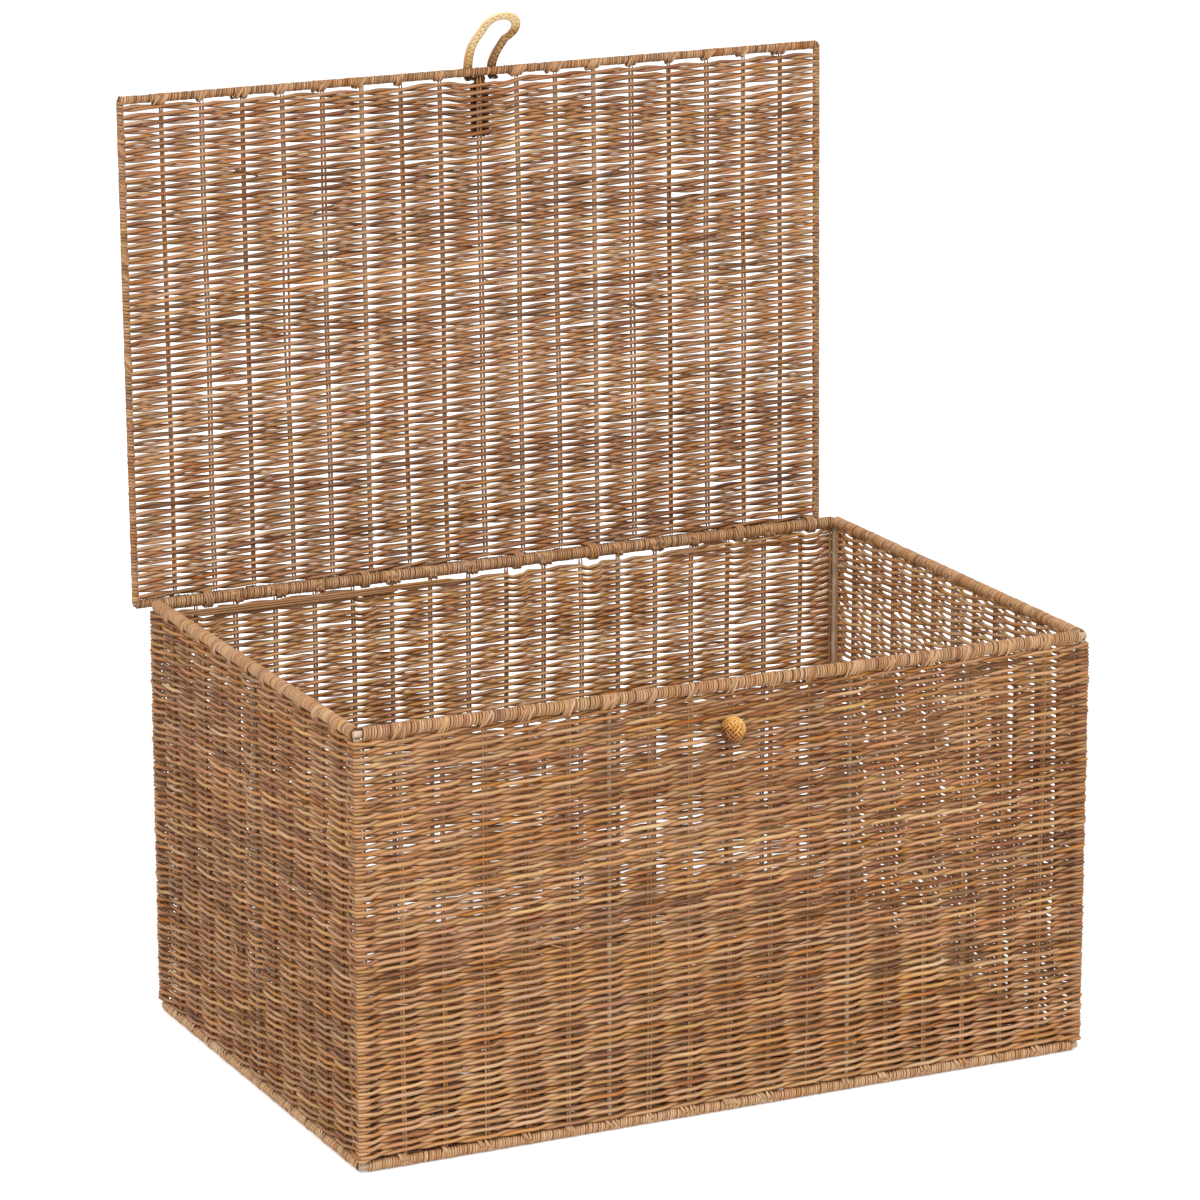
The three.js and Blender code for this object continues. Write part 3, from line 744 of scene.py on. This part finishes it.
def flat_panel(name, look, origin, up, rows_run, stakes_run, strand_radius, upright, edge, parts,
               loose=0.0, spread=0.0):
    """A mat whose rows run from side rod to side rod. origin is the middle of its first rod.

    rows_run and stakes_run are the first and last places of the rows and the stakes from there.
    loose is how far the last rows wander, where they also make room for the loop.
    """
    low, high = rows_run
    pitch = WIDTH / SPACES_ACROSS
    k = samples(SPACES_ACROSS, pitch, np.array([edge, edge + EDGE_STEP]))
    rows = round((high - low) / ROW_PITCH)
    heights = low + (np.arange(rows) + 0.5) * (high - low) / rows
    reach = stake_reaches(SPACES_ACROSS, FLAT_END_REACH, upright, strand_radius)
    both = twined(k, SPACES_ACROSS, heights, reach, strand_radius, FLAT_WAVE, FLAT_TWIST)
    wander = loose * (np.arange(rows) / (rows - 1))[:, None] ** 9 * ripples(rows, k, 5, 7)
    normal = np.cross(X_AXIS, up)
    start = origin - HALF_WIDTH * X_AXIS
    if loose:
        wander = wander - dip(start[0] + k * pitch, rows, [LOOP_X], LOOP_REACH, LOOP_DIP)
    line = start + (k * pitch)[:, None] * X_AXIS
    strands = [
        (line + out[..., None] * normal + (lift + wander)[..., None] * up, radius, tone)
        for out, lift, radius, tone in both
    ]
    build_rows(name, look, strands, up, parts)
    build_stakes(name, look, start, X_AXIS, up, pitch, SPACES_ACROSS, stakes_run, spread)


HINGE_GAP = 3.2 * MM
FRONT_GAP = 6.4 * MM
flat_panel(
    "lid_weave", LID_LOOK, LID_BACK, LID_UP,
    (HINGE_GAP, LID_DEPTH - FRONT_GAP), (STAKE_INSET, LID_DEPTH - STAKE_INSET),
    LID_STRAND_RADIUS, UPRIGHT_RADIUS, edge=1.0 * MM, parts=3, loose=1.0 * MM, spread=1.2 * MM)

BASE_BAR_RADIUS = 2 * MM
base_low, base_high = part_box("weave_base")
base_middle = np.array([0, base_low.y, (base_low.z + base_high.z) / 2])
base_run = (0.0, base_high.y - base_low.y)
flat_panel(
    "weave_base", WALL_LOOK, base_middle, Y_AXIS, base_run, base_run,
    BASE_STRAND_RADIUS, BASE_BAR_RADIUS, edge=6 * MM, parts=2)


# Wound rims

def per_turn(spread, turns):
    """Random values that change from one turn to the next, eased over the turn."""
    values = rng.normal(0, spread, int(turns[-1]) + 3)
    low = np.floor(turns).astype(int)
    share = turns - low
    ease = np.clip((share - 0.5) * 4, -0.5, 0.5) + 0.5
    return values[low] * (1 - ease) + values[low + 1] * ease


def wrap(piece, line, angle, run, reach, half, tone):
    """One strand round a rod. half is its half width and thickness.

    line is the rod's start, the way along it and the way from it down to the panel.
    """
    start, along, down = line
    way = np.cos(angle)[:, None] * down + np.sin(angle)[:, None] * np.cross(along, down)
    centres = start + run[:, None] * along + reach[:, None] * way
    piece.add(centres[None], along, *half, TURN_SIDES, tone, edges=TURN_EDGE_SHADE)


def fan(piece, line, place, radius, half, drop, shade, bulk):
    """Slanting turns over a winding, where the ends of stakes are bound to the rod."""
    angle = np.linspace(-1.45 * np.pi, 0.45 * np.pi, FAN_STEPS)
    lower = np.clip(np.cos(angle), 0, 1) ** 2
    count = rng.integers(*FAN_COUNT)
    for number in range(count):
        middle_run = place + (number - (count - 1) / 2) * rng.uniform(*FAN_PITCH)
        run = middle_run - rng.normal(*FAN_SLANT) * np.cos(angle)
        rise = bulk * rng.uniform(*FAN_RISE) * np.sqrt((1 + np.cos(angle)) / 2)
        reach = radius + rise + drop * rng.uniform(*FAN_DROP_SHARES) * lower
        wrap(piece, line, angle, run, reach, half, shade + rng.normal(0, FAN_TONE_SPREAD))


def winding(piece, line, length, inner, pitch, starts, half, knots=(), drop=0.0, shade=0.62, bulk=1.0):
    """Strands wound round a rod, as many as starts.

    At the knots, where stakes end, the turns gather and drop to the panel, and bulk says how much
    thicker they are there.
    """
    lead = pitch * starts
    turns = np.linspace(0, length / lead, int(length / lead * TURN_STEPS))
    for number in range(starts):
        angle = -2 * np.pi * (turns + number / starts)
        run = turns * lead + per_turn(TURN_SPREAD, turns) * pitch
        reach = inner + half[1] + per_turn(RISE_SPREAD, turns)
        pull = sum((place - run) * np.exp(-((run - place) / KNOT_SPREAD) ** 2) for place in knots)
        run = run + KNOT_PULL * pull * np.clip(np.cos(angle), 0, 1) ** 2
        wrap(piece, line, angle, run, reach, half, shade + per_turn(TURN_TONE_SPREAD, turns))
    for place in knots:
        fan(piece, line, place, inner + half[1], half, drop, shade, bulk)


def peel(piece, line, length, rod_radius, half_thick):
    """A flat strip wound on the bare rod, under the turns."""
    half = (PEEL_HALF_WIDTH, half_thick)
    winding(piece, line, length, rod_radius, PEEL_PITCH, 1, half, shade=PEEL_SHADE)


def knot_runs(length, spaces, share, offset=0.0):
    """Places of that share of the stakes along a side, a little off."""
    kept = [n for n in range(1, spaces) if rng.uniform() < share]
    return [n * length / spaces - offset + rng.normal(0, KNOT_PLACE_SPREAD) for n in kept]


def clear_of(runs, first, step, places, reach):
    """The runs that aren't within reach of the places. A run lies at first plus step times itself."""
    return [run for run in runs if all(abs(first + step * run - place) > reach for place in places)]


# Bare lengths at the ends of the windings on the front, right, back and left side
BARE_ENDS = np.array([(4.5, 2.5), (3, 3), (3, 3), (3, 3.5)]) * MM
# How far from a hinge tie and from the loop there is no knot
TIE_CLEARANCE = 16 * MM
LOOP_CLEARANCE = 30 * MM
for level, z, down, drops, half, peel_half, shade in (
    ("rim", RIM_Z, -Z_AXIS, np.array([2.6, 1.4, 1.4, 2.6]) * MM, (1.12 * MM, 0.95 * MM), 0.28 * MM, 0.56),
    ("base", BASE_Z, Z_AXIS, np.full(4, 2.0) * MM, (1.12 * MM, 0.6 * MM), 0.22 * MM, 0.68),
):
    for (side, start, along, spaces, length), bare, drop in zip(SIDES, BARE_ENDS, drops):
        piece = Piece()
        corner = start + z * Z_AXIS + bare[0] * along
        wound = length - bare[0] - bare[1]
        line = (corner, along, down)
        peel(piece, line, wound, ROD_RADIUS, peel_half)
        knots = knot_runs(length, spaces, 0.9, bare[0])
        if (level, side) == ("rim", "back"):
            knots = clear_of(knots, corner[0], -1, TIE_PLACES, TIE_CLEARANCE)
        inner = ROD_RADIUS + 2 * peel_half
        winding(piece, line, wound, inner, TURN_PITCH, 2, half, knots, drop, shade)
        piece.build(f"{level}_winding_{side}", "box", "rim_cane", RIM_CANE, f"{level}_wrap_{side}")


def side_runs():
    """Places of eight thicker spots along a side rod of the lid."""
    return np.sort(rng.uniform(0.04, 0.96, 8)) * LID_DEPTH


# Pitch, number and half sizes of the strands on the lid's long rods and on its side rods
LONG_TURNS = (TURN_PITCH, 2, (1.2 * MM, 0.7 * MM))
SIDE_TURNS = (2.9 * MM, 1, (1.4 * MM, 0.42 * MM))
LID_PEEL_HALF = 0.15 * MM
LID_PEEL_RISE = 0.2 * MM
LID_RIM_SHADE = 0.46
LID_KNOT_BULK = 0.35
lid_left = LID_BACK - HALF_WIDTH * X_AXIS
lid_right = LID_BACK + HALF_WIDTH * X_AXIS
lid_top_left = lid_left + LID_DEPTH * LID_UP
front_knots = knot_runs(WIDTH, SPACES_ACROSS, 0.95)
front_knots = clear_of(front_knots, lid_left[0], 1, [LOOP_X], LOOP_CLEARANCE)
back_knots = knot_runs(WIDTH, SPACES_ACROSS, 0.6)
for side, line, length, knots, drop, strands in (
    ("front", (lid_top_left, X_AXIS, -LID_UP), WIDTH, front_knots, 2.6 * MM, LONG_TURNS),
    ("back", (lid_left, X_AXIS, LID_UP), WIDTH, back_knots, 0.6 * MM, LONG_TURNS),
    ("left", (lid_left, LID_UP, X_AXIS), LID_DEPTH, side_runs(), 0.5 * MM, SIDE_TURNS),
    ("right", (lid_right, LID_UP, -X_AXIS), LID_DEPTH, side_runs(), 0.5 * MM, SIDE_TURNS),
):
    piece = Piece()
    peel(piece, line, length, LID_ROD_RADIUS, LID_PEEL_HALF)
    inner = LID_ROD_RADIUS + LID_PEEL_RISE
    winding(piece, line, length, inner, *strands, knots, drop, LID_RIM_SHADE, LID_KNOT_BULK)
    piece.build(f"lid_winding_{side}", "lid", "lid_rim_cane", RIM_CANE, f"lid_wrap_{side}")


# Loose canes

END_LIFT = 2.5 * MM
END_TONE = 0.5


def loose_cane(piece, place, way, out, long, radius, tone, stand=0.25):
    """A cane's cut end that tapers, and bends away from the weave by a share of its length."""
    share = np.linspace(0, 1, 12)[:, None]
    aside = np.cross(way, out)
    bend = (out * stand + aside * rng.normal(0, 0.1)) * share ** 2
    size = radius * (1 - 0.4 * share[:, 0])
    piece.add((place + long * (way * share + bend))[None], aside, size, size, 6, tone, 0.1, 0.1)


def scatter(piece, count, corner, along, up, wide, tall, out):
    """Loose ends at random places of a panel, most of them level with its rows."""
    for _ in range(count):
        place = corner + rng.uniform(0.05, 0.95) * wide * along + rng.uniform(0.08, 0.95) * tall * up
        slope = rng.normal(0, 0.25)
        way = unit(rng.choice((-1, 1)) * along + slope * up)
        long = rng.uniform(9, 24) * MM
        radius = rng.uniform(0.7, 1.2) * MM
        loose_cane(piece, place + END_LIFT * out, way, out, long, radius, END_TONE + rng.normal(0, 0.14))


ends = Piece()
wall_tall = PANEL_TOP - PANEL_BOTTOM
foot = np.array([-HALF_WIDTH, -HALF_DEPTH, PANEL_BOTTOM])
scatter(ends, 26, foot, X_AXIS, Z_AXIS, WIDTH, wall_tall, -Y_AXIS)
scatter(ends, 14, foot, Y_AXIS, Z_AXIS, DEPTH, wall_tall, -X_AXIS)
scatter(ends, 8, foot + WIDTH * X_AXIS, Y_AXIS, Z_AXIS, DEPTH, wall_tall, X_AXIS)
scatter(ends, 8, foot + DEPTH * Y_AXIS, X_AXIS, Z_AXIS, WIDTH, 0.95 * wall_tall, -Y_AXIS)
ends.build("loose_ends_box", *WALL_LOOK)

ends = Piece()
scatter(ends, 22, lid_left, X_AXIS, LID_UP, WIDTH, LID_DEPTH, LID_IN)
# The lid's longest loose canes: how far across and up they start, in shares, and their length in mm
LONG_END_LIFT = 3.6 * MM
for across, height, long, slope in (
    (0.62, 0.76, 74, 0.02), (0.15, 0.85, 26, -0.3), (0.26, 0.75, 22, 0.25), (0.93, 0.86, 30, 0.35),
    (0.52, 0.7, 40, -0.06), (0.8, 0.62, 34, 0.1),
):
    place = lid_left + across * WIDTH * X_AXIS + height * LID_DEPTH * LID_UP + LONG_END_LIFT * LID_IN
    way = unit(X_AXIS + slope * LID_UP)
    loose_cane(ends, place, way, LID_IN, long * MM, radius=1.4 * MM, tone=0.3, stand=0.04)
ends.build("loose_ends_lid", *LID_LOOK)

# Long canes laid inside under the back rim: how far down in mm, and from which share of its length to
# which. They may bend down a little between.
LONG_CANE_RADIUS = 1.4 * MM
LONG_CANE_INSET = 6.0 * MM
LONG_CANE_SAG = 0.5 * MM
ends = Piece()
for drop, first_share, last_share in (
    (8.3, 0.03, 0.42), (10.6, 0.02, 0.47), (12.6, 0.05, 0.34), (10.8, 0.74, 0.97),
):
    share = np.linspace(first_share, last_share, 40)
    line = np.array([-HALF_WIDTH, HALF_DEPTH - LONG_CANE_INSET, RIM_Z - drop * MM])
    line = line + (share * WIDTH)[:, None] * X_AXIS
    sag = np.minimum(ripples(1, share * SPACES_ACROSS, 6, 1)[0], 0)
    line = line + LONG_CANE_SAG * sag[:, None] * Z_AXIS
    ends.add(line[None], Z_AXIS, LONG_CANE_RADIUS, LONG_CANE_RADIUS, ROUND_SIDES, 0.5, 0.1, 0.1)
ends.build("back_rim_canes", *WALL_LOOK)


# Hinge ties

TIE_LOOPS = 3.0
TIE_RADIUS = 1.2 * MM
TIE_LOOP_PITCH = 2.7 * MM
TIE_WAVER = 0.5 * MM
# Radii of a tie's middle line round the rim's rod and round the lid's
TIE_RADII = (7.1 * MM, 5.5 * MM)


def belt_points(turns, low, high, rise):
    """Points of a belt round two rods, as (along the lid's back, up) from the lower rod's middle.

    It is worked out in complex numbers: round the lower rod, up, round the upper rod and down.
    """
    tilt = math.asin((low - high) / rise)
    straight = rise * math.cos(tilt)
    lengths = (low * (math.pi + 2 * tilt), straight, high * (math.pi - 2 * tilt), straight)
    first, second, third, total = np.cumsum(lengths)
    run = turns % 1.0 * total
    turned = np.exp(1j * tilt)
    top = 1j * rise
    spots = np.select([run < first, run < second, run < third], [
        low * np.exp(1j * (math.pi - tilt + run / low)),
        (low + 1j * (run - first)) * turned,
        top + high * np.exp(1j * (tilt + (run - second) / high)),
    ], top - (high + 1j * (run - third)) / turned)
    return np.stack([spots.real, spots.imag], 1)


hinge = np.array([0, HALF_DEPTH, RIM_Z])
lid_rise = np.linalg.norm((LID_BACK - hinge)[1:])
rise_way = unit((LID_BACK - hinge) * np.array([0, 1, 1]))
out_way = np.cross(X_AXIS, rise_way)
for number in range(1, 7):
    node = f"hinge_tie_{number}"
    place = middle(node)[0]
    piece = Piece()
    turns = np.linspace(0, TIE_LOOPS, 96) + rng.uniform(0, 1)
    spots = belt_points(turns, *TIE_RADII, lid_rise)
    run = (turns - turns.mean()) * TIE_LOOP_PITCH
    run = run + TIE_WAVER * np.sin(4 * np.pi * turns + rng.uniform(0, 6))
    centres = (
        hinge + (place + run)[:, None] * X_AXIS
        - spots[:, :1] * out_way + spots[:, 1:] * rise_way
    )
    piece.add(centres[None], X_AXIS, TIE_RADIUS, 0.85 * TIE_RADIUS, ROUND_SIDES, 0.5)
    piece.build(f"hinge_tie_cane_{number}", "lid", "rim_cane", RIM_CANE, node)


# Plaited strap

# How long a strip stays at the plait's edges
PLAIT_FLATNESS = 1.8


def plait(piece, path, face, half_width, half_thick, strip_half, strip_thick, period, tone):
    """Three strips plaited flat along a path. face is the way its outer side points, at each point.

    period is how far a strip runs till it is back at the same edge.
    """
    ahead = unit(np.gradient(path, axis=0))
    wide = unit(np.cross(ahead, face))
    over = np.cross(wide, ahead)
    run = run_along(path)
    for number in range(3):
        phase = 2 * np.pi * (run / period + number / 3)
        swing = np.tanh(PLAIT_FLATNESS * np.sin(phase)) / math.tanh(PLAIT_FLATNESS)
        centres = (
            path + ((half_width - strip_half) * swing)[:, None] * wide
            + ((half_thick - strip_thick) * np.sin(2 * phase))[:, None] * over
        )
        level = tone + rng.normal(0, 0.05) + 0.06 * np.sin(phase * 0.37)
        piece.add(centres[None], wide[None], strip_half, strip_thick, ROUND_SIDES, level[None], edges=0.1)


def resampled(points, spacing):
    """The points, each a place and an angle, evenly spaced along the places."""
    run = run_along(points[:, :3])
    even = np.linspace(0, run[-1], int(run[-1] / spacing))
    return np.stack([np.interp(even, run, column) for column in points.T], 1)


def spline(points, steps):
    """A Catmull-Rom curve through the points."""
    padded = np.concatenate([[2 * points[0] - points[1]], points, [2 * points[-1] - points[-2]]])
    result = []
    for i in range(len(points) - 1):
        a, b, c, d = padded[i:i + 4]
        t = np.linspace(0, 1, steps, endpoint=i == len(points) - 2)[:, None]
        result.append(0.5 * (2 * b + (c - a) * t + (2 * a - 5 * b + 4 * c - d) * t ** 2
                             + (3 * b - a - 3 * c + d) * t ** 3))
    return np.concatenate(result)


# The plait, and the smooth strands along its edges
STRAP_WIDTH = 8 * MM
STRAP_THICKNESS = 4 * MM
STRAP_PLAIT_HALF = 3.3 * MM
STRAP_STRIP = (1.8 * MM, 0.9 * MM)
STRAP_PERIOD = 16 * MM
STRAP_EDGE_INSET = 0.8 * MM
STRAP_EDGE = (1.35 * MM, 1.5 * MM)
STRAP_EDGE_SHADE = 0.14
STRAP_STEP = 0.7 * MM
LEG_SPACING = 24 * MM
LOOP_LEAN = 38
# From the rod's middle to the strap's, and how far its ends hook round the rod
STRAP_LIFT = 6.8 * MM
HOOK_DEGREES = 125
# The eye's middle, aside and out from the rod, and its arc
EYE_SIDE = 6.5 * MM
EYE_REACH = 47.9 * MM
EYE_RADIUS = 16.2 * MM
EYE_ARC = (165, -55)
# Places of the legs, as shares of the legs' spacing and of the eye's reach
LEFT_LEG_SHARES = [[-0.5, 0], [-0.6, 0.27], [-0.62, 0.62]]
RIGHT_LEG_SHARES = [[0.5, 0.38], [0.47, 0.12], [0.5, 0]]
# Painted light and shade along the strap: darkest in its hooks as a knot's shadow, lightest up the left
# leg and over the eye, and darker down the shaded right leg
TONE_SHARES = (0, 0.05, 0.08, 0.3, 0.6, 0.66, 0.92, 0.95, 1)
STRAP_LIGHT_AND_SHADE = (0, 0, 0.66, 1.0, 1.02, 0.46, 0.4, 0, 0)


def loop_path():
    """The strap's middle line and its outer side's way, as sideways, outward and up off the rod."""
    hook = np.radians(np.linspace(HOOK_DEGREES, 0, 12, endpoint=False))
    sweep = np.radians(np.linspace(*EYE_ARC, 40))
    eye = np.stack([EYE_SIDE + EYE_RADIUS * np.cos(sweep), EYE_REACH + EYE_RADIUS * np.sin(sweep)], 1)
    scale = np.array([LEG_SPACING, EYE_REACH])
    left = spline(np.array([*LEFT_LEG_SHARES, eye[0] / scale]) * scale, 8)
    right = spline(np.array([eye[-1] / scale, *RIGHT_LEG_SHARES]) * scale, 8)
    flat = np.concatenate([left[:-1], eye, right[1:]])
    bent = [(-STRAP_LIFT * math.sin(a), STRAP_LIFT * math.cos(a), a) for a in hook]
    spots = [(-LEG_SPACING / 2, *spot) for spot in bent]
    spots += [(x, y, STRAP_LIFT, 0.0) for x, y in flat]
    spots += [(LEG_SPACING / 2, *spot) for spot in bent[::-1]]
    return resampled(np.array(spots), STRAP_STEP)


lean = math.radians(LOOP_LEAN)
lid_out = -LID_IN
loop_out = math.cos(lean) * LID_UP - math.sin(lean) * lid_out
loop_face = math.cos(lean) * lid_out + math.sin(lean) * LID_UP
path = loop_path()
centres = (
    LID_FRONT + LEG_SHIFT * X_AXIS + path[:, :1] * X_AXIS
    + path[:, 1:2] * loop_out + path[:, 2:3] * loop_face
)
face = np.cos(path[:, 3:4]) * loop_face - np.sin(path[:, 3:4]) * loop_out
strap = Piece()
# Painted light and shade along the strap
strap_light_and_shade = np.interp(np.linspace(0, 1, len(centres)), TONE_SHARES, STRAP_LIGHT_AND_SHADE)
halves = (STRAP_PLAIT_HALF, STRAP_THICKNESS / 2, *STRAP_STRIP)
plait(strap, centres, face, *halves, STRAP_PERIOD, strap_light_and_shade)
wide = unit(np.cross(unit(np.gradient(centres, axis=0)), face))
for side in (-1, 1):
    edge = centres + side * (STRAP_WIDTH / 2 - STRAP_EDGE_INSET) * wide
    strap.add(edge[None], wide[None], *STRAP_EDGE, 10, strap_light_and_shade[None] - STRAP_EDGE_SHADE)
strap.build("loop_plait", "loop", "strap_cane", STRAP_CANE, "loop_strap")

# The strap's tail on the lid's outer face: two plaits side by side, and a middle one that goes on to
# the outside of the winding, between the loop's legs
TAIL_HALF_LENGTH = 25 * MM
TAIL_HALF_WIDTH = 4.8 * MM
TAIL_HALF_THICKNESS = 2.0 * MM
TAIL_PERIOD = 14 * MM
TAIL_OVERLAP = 8 * MM
TAIL_END = 2 * MM
anchor = Piece()
anchor_middle = middle("loop_anchor")
runs = [np.linspace(-TAIL_HALF_LENGTH, TAIL_HALF_LENGTH, 52)] * 2
rod_run = (LID_FRONT - anchor_middle) @ LID_UP
runs.append(np.linspace(TAIL_HALF_LENGTH - TAIL_OVERLAP, rod_run + TAIL_END, 40))
# The tail's dark tones are painted shade: it is seen through the lid from its shaded side
for run, side, half_width, strip, tone in zip(
    runs, (-1, 1, 0), (TAIL_HALF_WIDTH, TAIL_HALF_WIDTH, 6.0 * MM), (1.9 * MM, 1.9 * MM, 2.2 * MM),
    (0.14, 0.14, 0.12),
):
    line = anchor_middle + side * TAIL_HALF_WIDTH * X_AXIS + run[:, None] * LID_UP
    plait(anchor, line, np.broadcast_to(lid_out, line.shape), half_width, TAIL_HALF_THICKNESS, strip,
          1.0 * MM, TAIL_PERIOD, tone)
anchor.build("loop_tail", "lid", "strap_cane", STRAP_CANE, "loop_anchor")


# Knob

def on_ball(latitude, longitude):
    return np.stack([
        np.cos(latitude) * np.cos(longitude), np.cos(latitude) * np.sin(longitude), np.sin(latitude),
    ], 1)


def turks_head(centre, radius, depth, leads, bights, shift):
    """A strip plaited over a ball, under and over itself, and moved sideways by shift."""
    t = np.linspace(0, 2 * np.pi, bights * 60)
    lift = depth * np.sin((leads - 1) * bights * t)
    way = on_ball(math.radians(76) * np.cos(bights * t), leads * t)
    aside = np.cross(way, unit(np.gradient(way, axis=0)))
    way = unit(way + shift / radius * aside)
    return centre + (radius + lift)[:, None] * way, aside


KNOB_INSET = 0.8 * MM
# The plait is doubled: each strip lies this far to a side
KNOB_SHIFT = 1.4 * MM
KNOB_STRIP = (1.2 * MM, 0.5 * MM)
KNOB_TONE = 0.63
# Painted light: how far the knob's tone rises towards its upper right
KNOB_PAINTED_LIGHT = 0.42
BALL_MIDDLE = 10.5 * MM
CORE_TURNS = 9
CORE_INSET = 2.3 * MM
CORE_FLATNESS = 0.88
STEM_RADIUS = 1.0 * MM
KNOT_CANE_RADIUS = 1.3 * MM
KNOT_SCALE = 1.35 * MM
KNOT_DEPTH = 1.1 * MM

ball = half_size("knob").x
ball_middle = middle("knob")
ball_middle[1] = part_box("knob")[0].y + BALL_MIDDLE
knob = Piece()
for shift in (-KNOB_SHIFT, KNOB_SHIFT):
    line, aside = turks_head(
        ball_middle, ball - KNOB_INSET, depth=0.7 * MM, leads=9, bights=7, shift=shift)
    # Painted light: the ball's tone rises towards its upper right, as if lit from there
    lit = (line - ball_middle) @ np.array([0.8, 0, 0.6]) / ball
    tone = KNOB_TONE + rng.normal(0, 0.05) + KNOB_PAINTED_LIGHT * lit
    knob.add(line[None], aside[None], *KNOB_STRIP, ROUND_SIDES, tone[None], edges=0.32)
knob.build("knob_plait", "box", "strap_cane", KNOB_CANE, "knob")

# The winding inside the ball, at the darkest tone as painted shade in the ball's gaps, and the stem
# through the wall
core = Piece()
turns = np.linspace(0, CORE_TURNS, CORE_TURNS * 20)
core_way = on_ball(np.pi / 2 - np.pi * turns / CORE_TURNS, 2 * np.pi * turns)
core_line = ball_middle + (ball - CORE_INSET) * CORE_FLATNESS * core_way
core.add(core_line[None], Z_AXIS, 1.6 * MM, 1.2 * MM, ROUND_SIDES, 0.0)
knot_middle = middle("knob_knot")
stem = np.linspace(ball_middle + 5 * MM * Y_AXIS, knot_middle, 8)
for side in (-1, 1):
    line = stem + side * 0.9 * STEM_RADIUS * X_AXIS
    core.add(line[None], X_AXIS, STEM_RADIUS, STEM_RADIUS, ROUND_SIDES, 0.4)
core.build("knob_core", "box", "strap_cane", KNOB_CANE)

# The knot inside the wall is a trefoil
knot = Piece()
t = np.linspace(0, 2 * np.pi, 120)
knot_line = knot_middle + np.stack([
    KNOT_SCALE * (np.sin(t) + 2 * np.sin(2 * t)),
    KNOT_DEPTH * np.sin(3 * t),
    KNOT_SCALE * (np.cos(t) - 2 * np.cos(2 * t)),
], 1)
knot.add(knot_line[None], Y_AXIS, KNOT_CANE_RADIUS, KNOT_CANE_RADIUS, ROUND_SIDES, 0.5)
knot.build("knob_knot_cane", "box", "strap_cane", KNOB_CANE, "knob_knot")


# Floor, light and world

FLOOR_HALF = 15.0
FLOOR_DROP = 0.2 * MM
FLOOR_COLOUR = (0.86, 0.86, 0.86, 1)
FLOOR_GLOW = 0.42
WORLD_LIGHT = 0.84


def stage_material():
    """A pale floor that shows white to the camera where nothing shades it."""
    material, tree = new_material("floor")
    tree.nodes.clear()
    seen = new_node(tree, "LightPath").outputs["Is Camera Ray"]
    cover = new_node(tree, "BsdfDiffuse", {"Color": FLOOR_COLOUR})
    glow = new_node(tree, "Emission", {"Strength": maths(tree, "MULTIPLY", seen, FLOOR_GLOW)})
    both = new_node(tree, "AddShader", {0: cover.outputs["BSDF"], 1: glow.outputs["Emission"]})
    new_node(tree, "OutputMaterial", {"Surface": both.outputs["Shader"]})
    return material


def make_stage():
    corners = [(x * FLOOR_HALF, y * FLOOR_HALF, 0) for x, y in ((-1, -1), (1, -1), (1, 1), (-1, 1))]
    mesh = bpy.data.meshes.new("floor")
    mesh.from_pydata(corners, [], [(0, 1, 2, 3)])
    mesh.materials.append(stage_material())
    floor = bpy.data.objects.new("floor", mesh)
    floor.location.z = cad_bounds[0][2] - FLOOR_DROP
    bpy.context.scene.collection.objects.link(floor)


def make_world():
    """A white world that lights the trunk a little less than it shows."""
    world = bpy.data.worlds.new("studio")
    bpy.context.scene.world = world
    world.use_nodes = True
    tree = world.node_tree
    path = new_node(tree, "LightPath").outputs
    seen = maths(tree, "MAXIMUM", path["Is Camera Ray"], path["Is Glossy Ray"])
    seen = maths(tree, "MAXIMUM", seen, path["Is Transmission Ray"])
    strength = mapped(tree, seen, WORLD_LIGHT, 1.0)
    fill(tree, tree.nodes["Background"], {"Color": (1, 1, 1, 1), "Strength": strength})


def softbox(name, place, aim, size, watts):
    light = bpy.data.lights.new(name, "AREA")
    light.shape = "SQUARE"
    light.size = size
    light.energy = watts
    holder = bpy.data.objects.new(name, light)
    bpy.context.scene.collection.objects.link(holder)
    holder.location = place
    holder.rotation_euler = (Vector(aim) - Vector(place)).to_track_quat("-Z", "Y").to_euler()


make_stage()
make_world()
softbox("key", (-0.5, -2.5, 3.6), (0, 0, 0.3), 2.2, 80)
softbox("fill", (-3.5, -1.4, 2.8), (0, 0, 0.4), 2.2, 33)
bpy.context.scene.view_settings.view_transform = "Standard"
